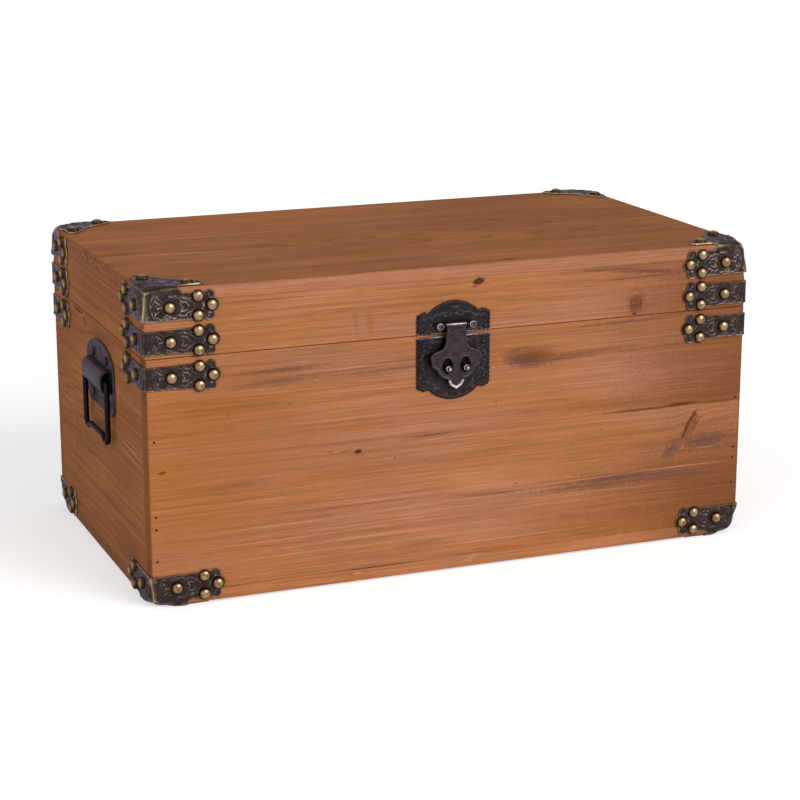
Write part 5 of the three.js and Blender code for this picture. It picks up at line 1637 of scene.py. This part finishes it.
class SEACHEST_OT_latch(bpy.types.Operator):
    """Make the latch: two plates, the flap, its pin and the two posts"""
    bl_idname = "sea_chest.latch"
    bl_label = "Latch"

    def execute(self, context):
        sizes = context.scene.sea_chest_sizes
        step, relief = sizes.grid * TO_MM, sizes.relief * TO_MM
        gunmetal, steel = shared_material(context, "gunmetal"), shared_material(context, "steel")
        ear_from = BARREL_LENGTH / 2 + RUNNING
        ear_to = ear_from + EAR_THICKNESS
        knob_at = ear_to + RUNNING + KNOB_RADIUS
        pin = np.array([LATCH_X, -depth / 2 - PIN_REACH, PIN_HEIGHT])

        upper = [latch_plate(*UPPER_PLATE, 1, UPPER_SCROLLS, step, relief)]
        for side in (-1, 1):
            start, end = sorted((side * ear_from, side * ear_to))
            upper.append(stood(tube(PIN_RADIUS + RUNNING, BARREL_RADIUS, start, end, 28), pin, (1, 0, 0)))
            low = (pin[0] + start, -depth / 2 - PIN_REACH + EAR_FOOT, PIN_HEIGHT - BARREL_RADIUS)
            high = (pin[0] + end, -depth / 2 - EAR_FOOT, PIN_HEIGHT + BARREL_RADIUS)
            upper.append(block_form(low, high, 0.2))
        piece("latch_upper_plate_pressed", together(*upper), "lid", "gunmetal", gunmetal,
              ["latch_upper_plate"])

        lower = latch_plate(*LOWER_PLATE, -1, LOWER_SCROLLS, step, relief)
        piece("latch_lower_plate_pressed", lower, "box", "gunmetal", gunmetal, ["latch_lower_plate"])

        rolled = tube(PIN_RADIUS + RUNNING, BARREL_RADIUS, -BARREL_LENGTH / 2, BARREL_LENGTH / 2, 32)
        barrel = stood(rolled, pin, (1, 0, 0))
        # Painted highlight: a thin bright band along the barrel's front, about 32 degrees above level.
        rise = np.degrees(np.arctan2(barrel[0][:, 2] - pin[2], pin[1] - barrel[0][:, 1]))
        barrel[2]["wear"] = 1.2 * smooth(13, 4, np.abs(rise - 32))
        barrel[2]["relief"] = np.full(len(rise), 0.1)
        piece("latch_flap_pressed", together(flap_form(step, relief), barrel), "hasp", "gunmetal",
              shared_material(context, "flap"), ["latch_flap"])

        rod = turned([(0, -knob_at), (PIN_RADIUS, -knob_at), (PIN_RADIUS, knob_at), (0, knob_at)], 20)
        knobs = [stood(turned(KNOB_PROFILE, 28), pin + (side * knob_at, 0, 0), (0, -1, 0))
                 for side in (-1, 1)]
        piece("latch_pin_turned", together(stood(rod, pin, (1, 0, 0)), *knobs), "lid", "worn_steel", steel,
              ["latch_pin"])

        for name, side in SIDES:
            place = (LATCH_X + side * HOLE_SPREAD / 2, -depth / 2, PIN_HEIGHT - POST_DROP)
            piece(f"latch_post_{name}_turned", stood(turned(POST_PROFILE, 28), place, (0, -1, 0)), "box",
                  "worn_steel", steel, ["latch_post_" + name])
        return {"FINISHED"}


class SEACHEST_OT_handles(bpy.types.Operator):
    """Make a drop handle for each side: plate, housing and bail"""
    bl_idname = "sea_chest.handles"
    bl_label = "Handles"

    def execute(self, context):
        iron, bail = shared_material(context, "iron"), shared_material(context, "bail")
        flat = bail_path()
        for name, sign in SIDES:
            plate = together(handle_plate(sign, 0.7), hump_form(sign))
            piece(name + "_handle_plate_pressed", plate, "box", "black_iron", iron, [name + "_handle_plate"])
            out = np.full(len(flat), sign * (length / 2 + PIVOT_REACH))
            path = np.stack([out, flat[:, 0] + HANDLE_Y, flat[:, 1] + PIVOT_HEIGHT], axis=1)
            points, polygons, _ = swept(path, WIRE, 20, (1, 0, 0))
            wire = (points, outward(points, polygons), {"relief": np.full(len(points), 0.15)})
            piece(name + "_handle_bail_bent", wire, name + "_bail", "black_iron", bail,
                  [name + "_handle_bail"])
        return {"FINISHED"}


class SEACHEST_OT_hinges(bpy.types.Operator):
    """Make the two hinges on the back"""
    bl_idname = "sea_chest.hinges"
    bl_label = "Hinges"

    def execute(self, context):
        iron = shared_material(context, "iron")
        end = HINGE_WIDTH / 2 + RUNNING
        tip = end + PIN_HEAD
        half = [(1, end), (1.7, end), (1.7, tip - 0.3), (1.2, tip), (0, tip)]
        profile = [(radius, -rise) for radius, rise in reversed(half)] + half
        for name, side in SIDES:
            x = side * HINGE_X
            for leaf, sign, body in (("lower", -1, "box"), ("upper", 1, "lid")):
                node = f"{name}_hinge_{leaf}_leaf"
                piece(node + "_rolled", hinge_leaf(x, sign), body, "black_iron", iron, [node])
            pin = stood(turned(profile, 24), (x, depth / 2 + HINGE_AXIS, seam), (1, 0, 0))
            piece(name + "_hinge_pin_turned", pin, "box", "black_iron", iron, [name + "_hinge_pin"])
        return {"FINISHED"}


class SEACHEST_OT_screws(bpy.types.Operator):
    """Set the screws of the handles and hinges"""
    bl_idname = "sea_chest.screws"
    bl_label = "Screws"

    def execute(self, context):
        points, polygons, values = screw_head(context.scene.sea_chest_sizes)
        form = bpy.data.objects.new("screw_form", new_mesh("screw_form", points, polygons, values))
        inputs = {"Form": form, "Material": shared_material(context, "iron")}
        angles = iter(np.random.default_rng(11).uniform(0, math.pi, 16))
        places, nodes = {"box": [], "lid": []}, {"box": [], "lid": []}
        for name, sign in SIDES:
            corners = ("upper_front", "upper_back", "lower_front", "lower_back")
            for corner, (across, rise) in zip(corners, HANDLE_SCREWS):
                place = (sign * (length / 2 + IRON_FACE), HANDLE_Y + across, PIVOT_HEIGHT + rise)
                places["box"].append((place, (sign, 0, 0), next(angles)))
                nodes["box"].append(f"{name}_handle_screw_{corner}")
        for name, hinge in SIDES:
            for (side, _), (across, rise) in zip(SIDES, HINGE_SCREWS):
                for leaf, sign, body in (("lower", -1, "box"), ("upper", 1, "lid")):
                    place = (hinge * HINGE_X + across, depth / 2 + IRON_FACE, seam + sign * rise)
                    places[body].append((place, (0, 1, 0), next(angles)))
                    nodes[body].append(f"{name}_hinge_screw_{leaf}_{side}")
        for body in ("box", "lid"):
            set_fasteners(
                body + "_screws", copy_tree(), places[body], inputs, body, "black_iron", nodes[body])
        bpy.data.objects.remove(form)
        return {"FINISHED"}


def background_rays(tree):
    """1 for the rays that look at the background itself or in a reflection, and 0 for its light."""
    rays = add_node(tree, "ShaderNodeLightPath").outputs
    seen = rays["Is Camera Ray"]
    for other in ("Is Glossy Ray", "Is Transmission Ray"):
        seen = add_node(tree, "ShaderNodeMath", {0: seen, 1: rays[other]}, operation="MAXIMUM").outputs[0]
    return seen


class SEACHEST_OT_stage(bpy.types.Operator):
    """Set the floor, the lights, the camera and the view"""
    bl_idname = "sea_chest.stage"
    bl_label = "Stage"

    def execute(self, context):
        scene = context.scene
        scene.view_settings.view_transform = "Standard"
        mesh = bpy.data.meshes.new("studio_floor")
        ends = ((-1, -1), (1, -1), (1, 1), (-1, 1))
        mesh.from_pydata([(x * FLOOR_METRES, y * FLOOR_METRES, 0) for x, y in ends], [], [(0, 1, 2, 3)])
        floor = new_object("studio_floor", mesh)
        material = bpy.data.materials.new("Studio floor, matt white")
        mesh.materials.append(material)
        tree = emptied(material)
        matt = add_node(tree, "ShaderNodeBsdfDiffuse", {"Color": scene.sea_chest_colours.floor[:]})
        level = add_node(tree, "ShaderNodeMath", {0: background_rays(tree), 1: 0.5}, operation="MULTIPLY")
        glow = add_node(tree, "ShaderNodeEmission", {"Color": (1, 1, 1, 1), "Strength": level.outputs[0]})
        both = add_node(tree, "ShaderNodeAddShader", {0: matt.outputs[0], 1: glow.outputs[0]})
        add_node(tree, "ShaderNodeOutputMaterial", {"Surface": both.outputs[0]})

        world = bpy.data.worlds.new("Studio")
        scene.world = world
        tree = emptied(world)
        level = add_node(tree, "ShaderNodeMapRange", {0: background_rays(tree), 3: 0.3, 4: 1.0})
        sky = add_node(tree, "ShaderNodeBackground", {"Color": (1, 1, 1, 1), "Strength": level.outputs[0]})
        add_node(tree, "ShaderNodeOutputWorld", {"Surface": sky.outputs[0]})

        for name, direction, strength, width in LAMPS:
            lamp = bpy.data.lights.new(name, "SUN")
            lamp.energy = strength
            lamp.angle = math.radians(width)
            held = new_object(name, lamp)
            held.matrix_world = Vector(direction).to_track_quat("Z", "Y").to_matrix().to_4x4()

        camera = bpy.data.cameras.new("Camera")
        camera.lens = CAMERA_LENS
        camera.sensor_width = CAMERA_SENSOR
        camera.clip_start = 0.01
        held = new_object("Camera", camera)
        turn, tilt = math.radians(CAMERA_TURN), math.radians(CAMERA_TILT)
        ahead = Vector((math.sin(turn) * math.cos(tilt), math.cos(turn) * math.cos(tilt), -math.sin(tilt)))
        held.matrix_world = Matrix.Translation(Vector(CAMERA_PLACE) / TO_MM) @ (
            (-ahead).to_track_quat("Z", "Y").to_matrix().to_4x4())
        scene.camera = held
        return {"FINISHED"}


OPERATORS = (SEACHEST_OT_boards, SEACHEST_OT_brackets, SEACHEST_OT_nails, SEACHEST_OT_latch,
             SEACHEST_OT_handles, SEACHEST_OT_hinges, SEACHEST_OT_screws, SEACHEST_OT_stage)


class SEACHEST_PT_panel(bpy.types.Panel):
    """Sizes and colours of the chest, and the steps that make it"""
    bl_label = "Sea chest"
    bl_idname = "SEACHEST_PT_panel"
    bl_space_type = "VIEW_3D"
    bl_region_type = "UI"
    bl_category = "Sea chest"

    def draw(self, context):
        for held in (context.scene.sea_chest_sizes, context.scene.sea_chest_colours):
            box = self.layout.box()
            for name in held.bl_rna.properties.keys():
                if name not in ("rna_type", "name"):
                    box.prop(held, name)
        for operator in OPERATORS:
            self.layout.operator(operator.bl_idname)


CLASSES = (ChestSizes, ChestColours, *OPERATORS, SEACHEST_PT_panel)


def register():
    for cls in CLASSES:
        bpy.utils.register_class(cls)
    bpy.types.Scene.sea_chest_sizes = bpy.props.PointerProperty(type=ChestSizes)
    bpy.types.Scene.sea_chest_colours = bpy.props.PointerProperty(type=ChestColours)


def unregister():
    del bpy.types.Scene.sea_chest_colours
    del bpy.types.Scene.sea_chest_sizes
    for cls in reversed(CLASSES):
        bpy.utils.unregister_class(cls)


def main():
    register()
    bpy.ops.sea_chest.boards()
    bpy.ops.sea_chest.brackets()
    bpy.ops.sea_chest.nails()
    bpy.ops.sea_chest.latch()
    bpy.ops.sea_chest.handles()
    bpy.ops.sea_chest.hinges()
    bpy.ops.sea_chest.screws()
    bpy.ops.sea_chest.stage()


if __name__ == "__main__":
    main()
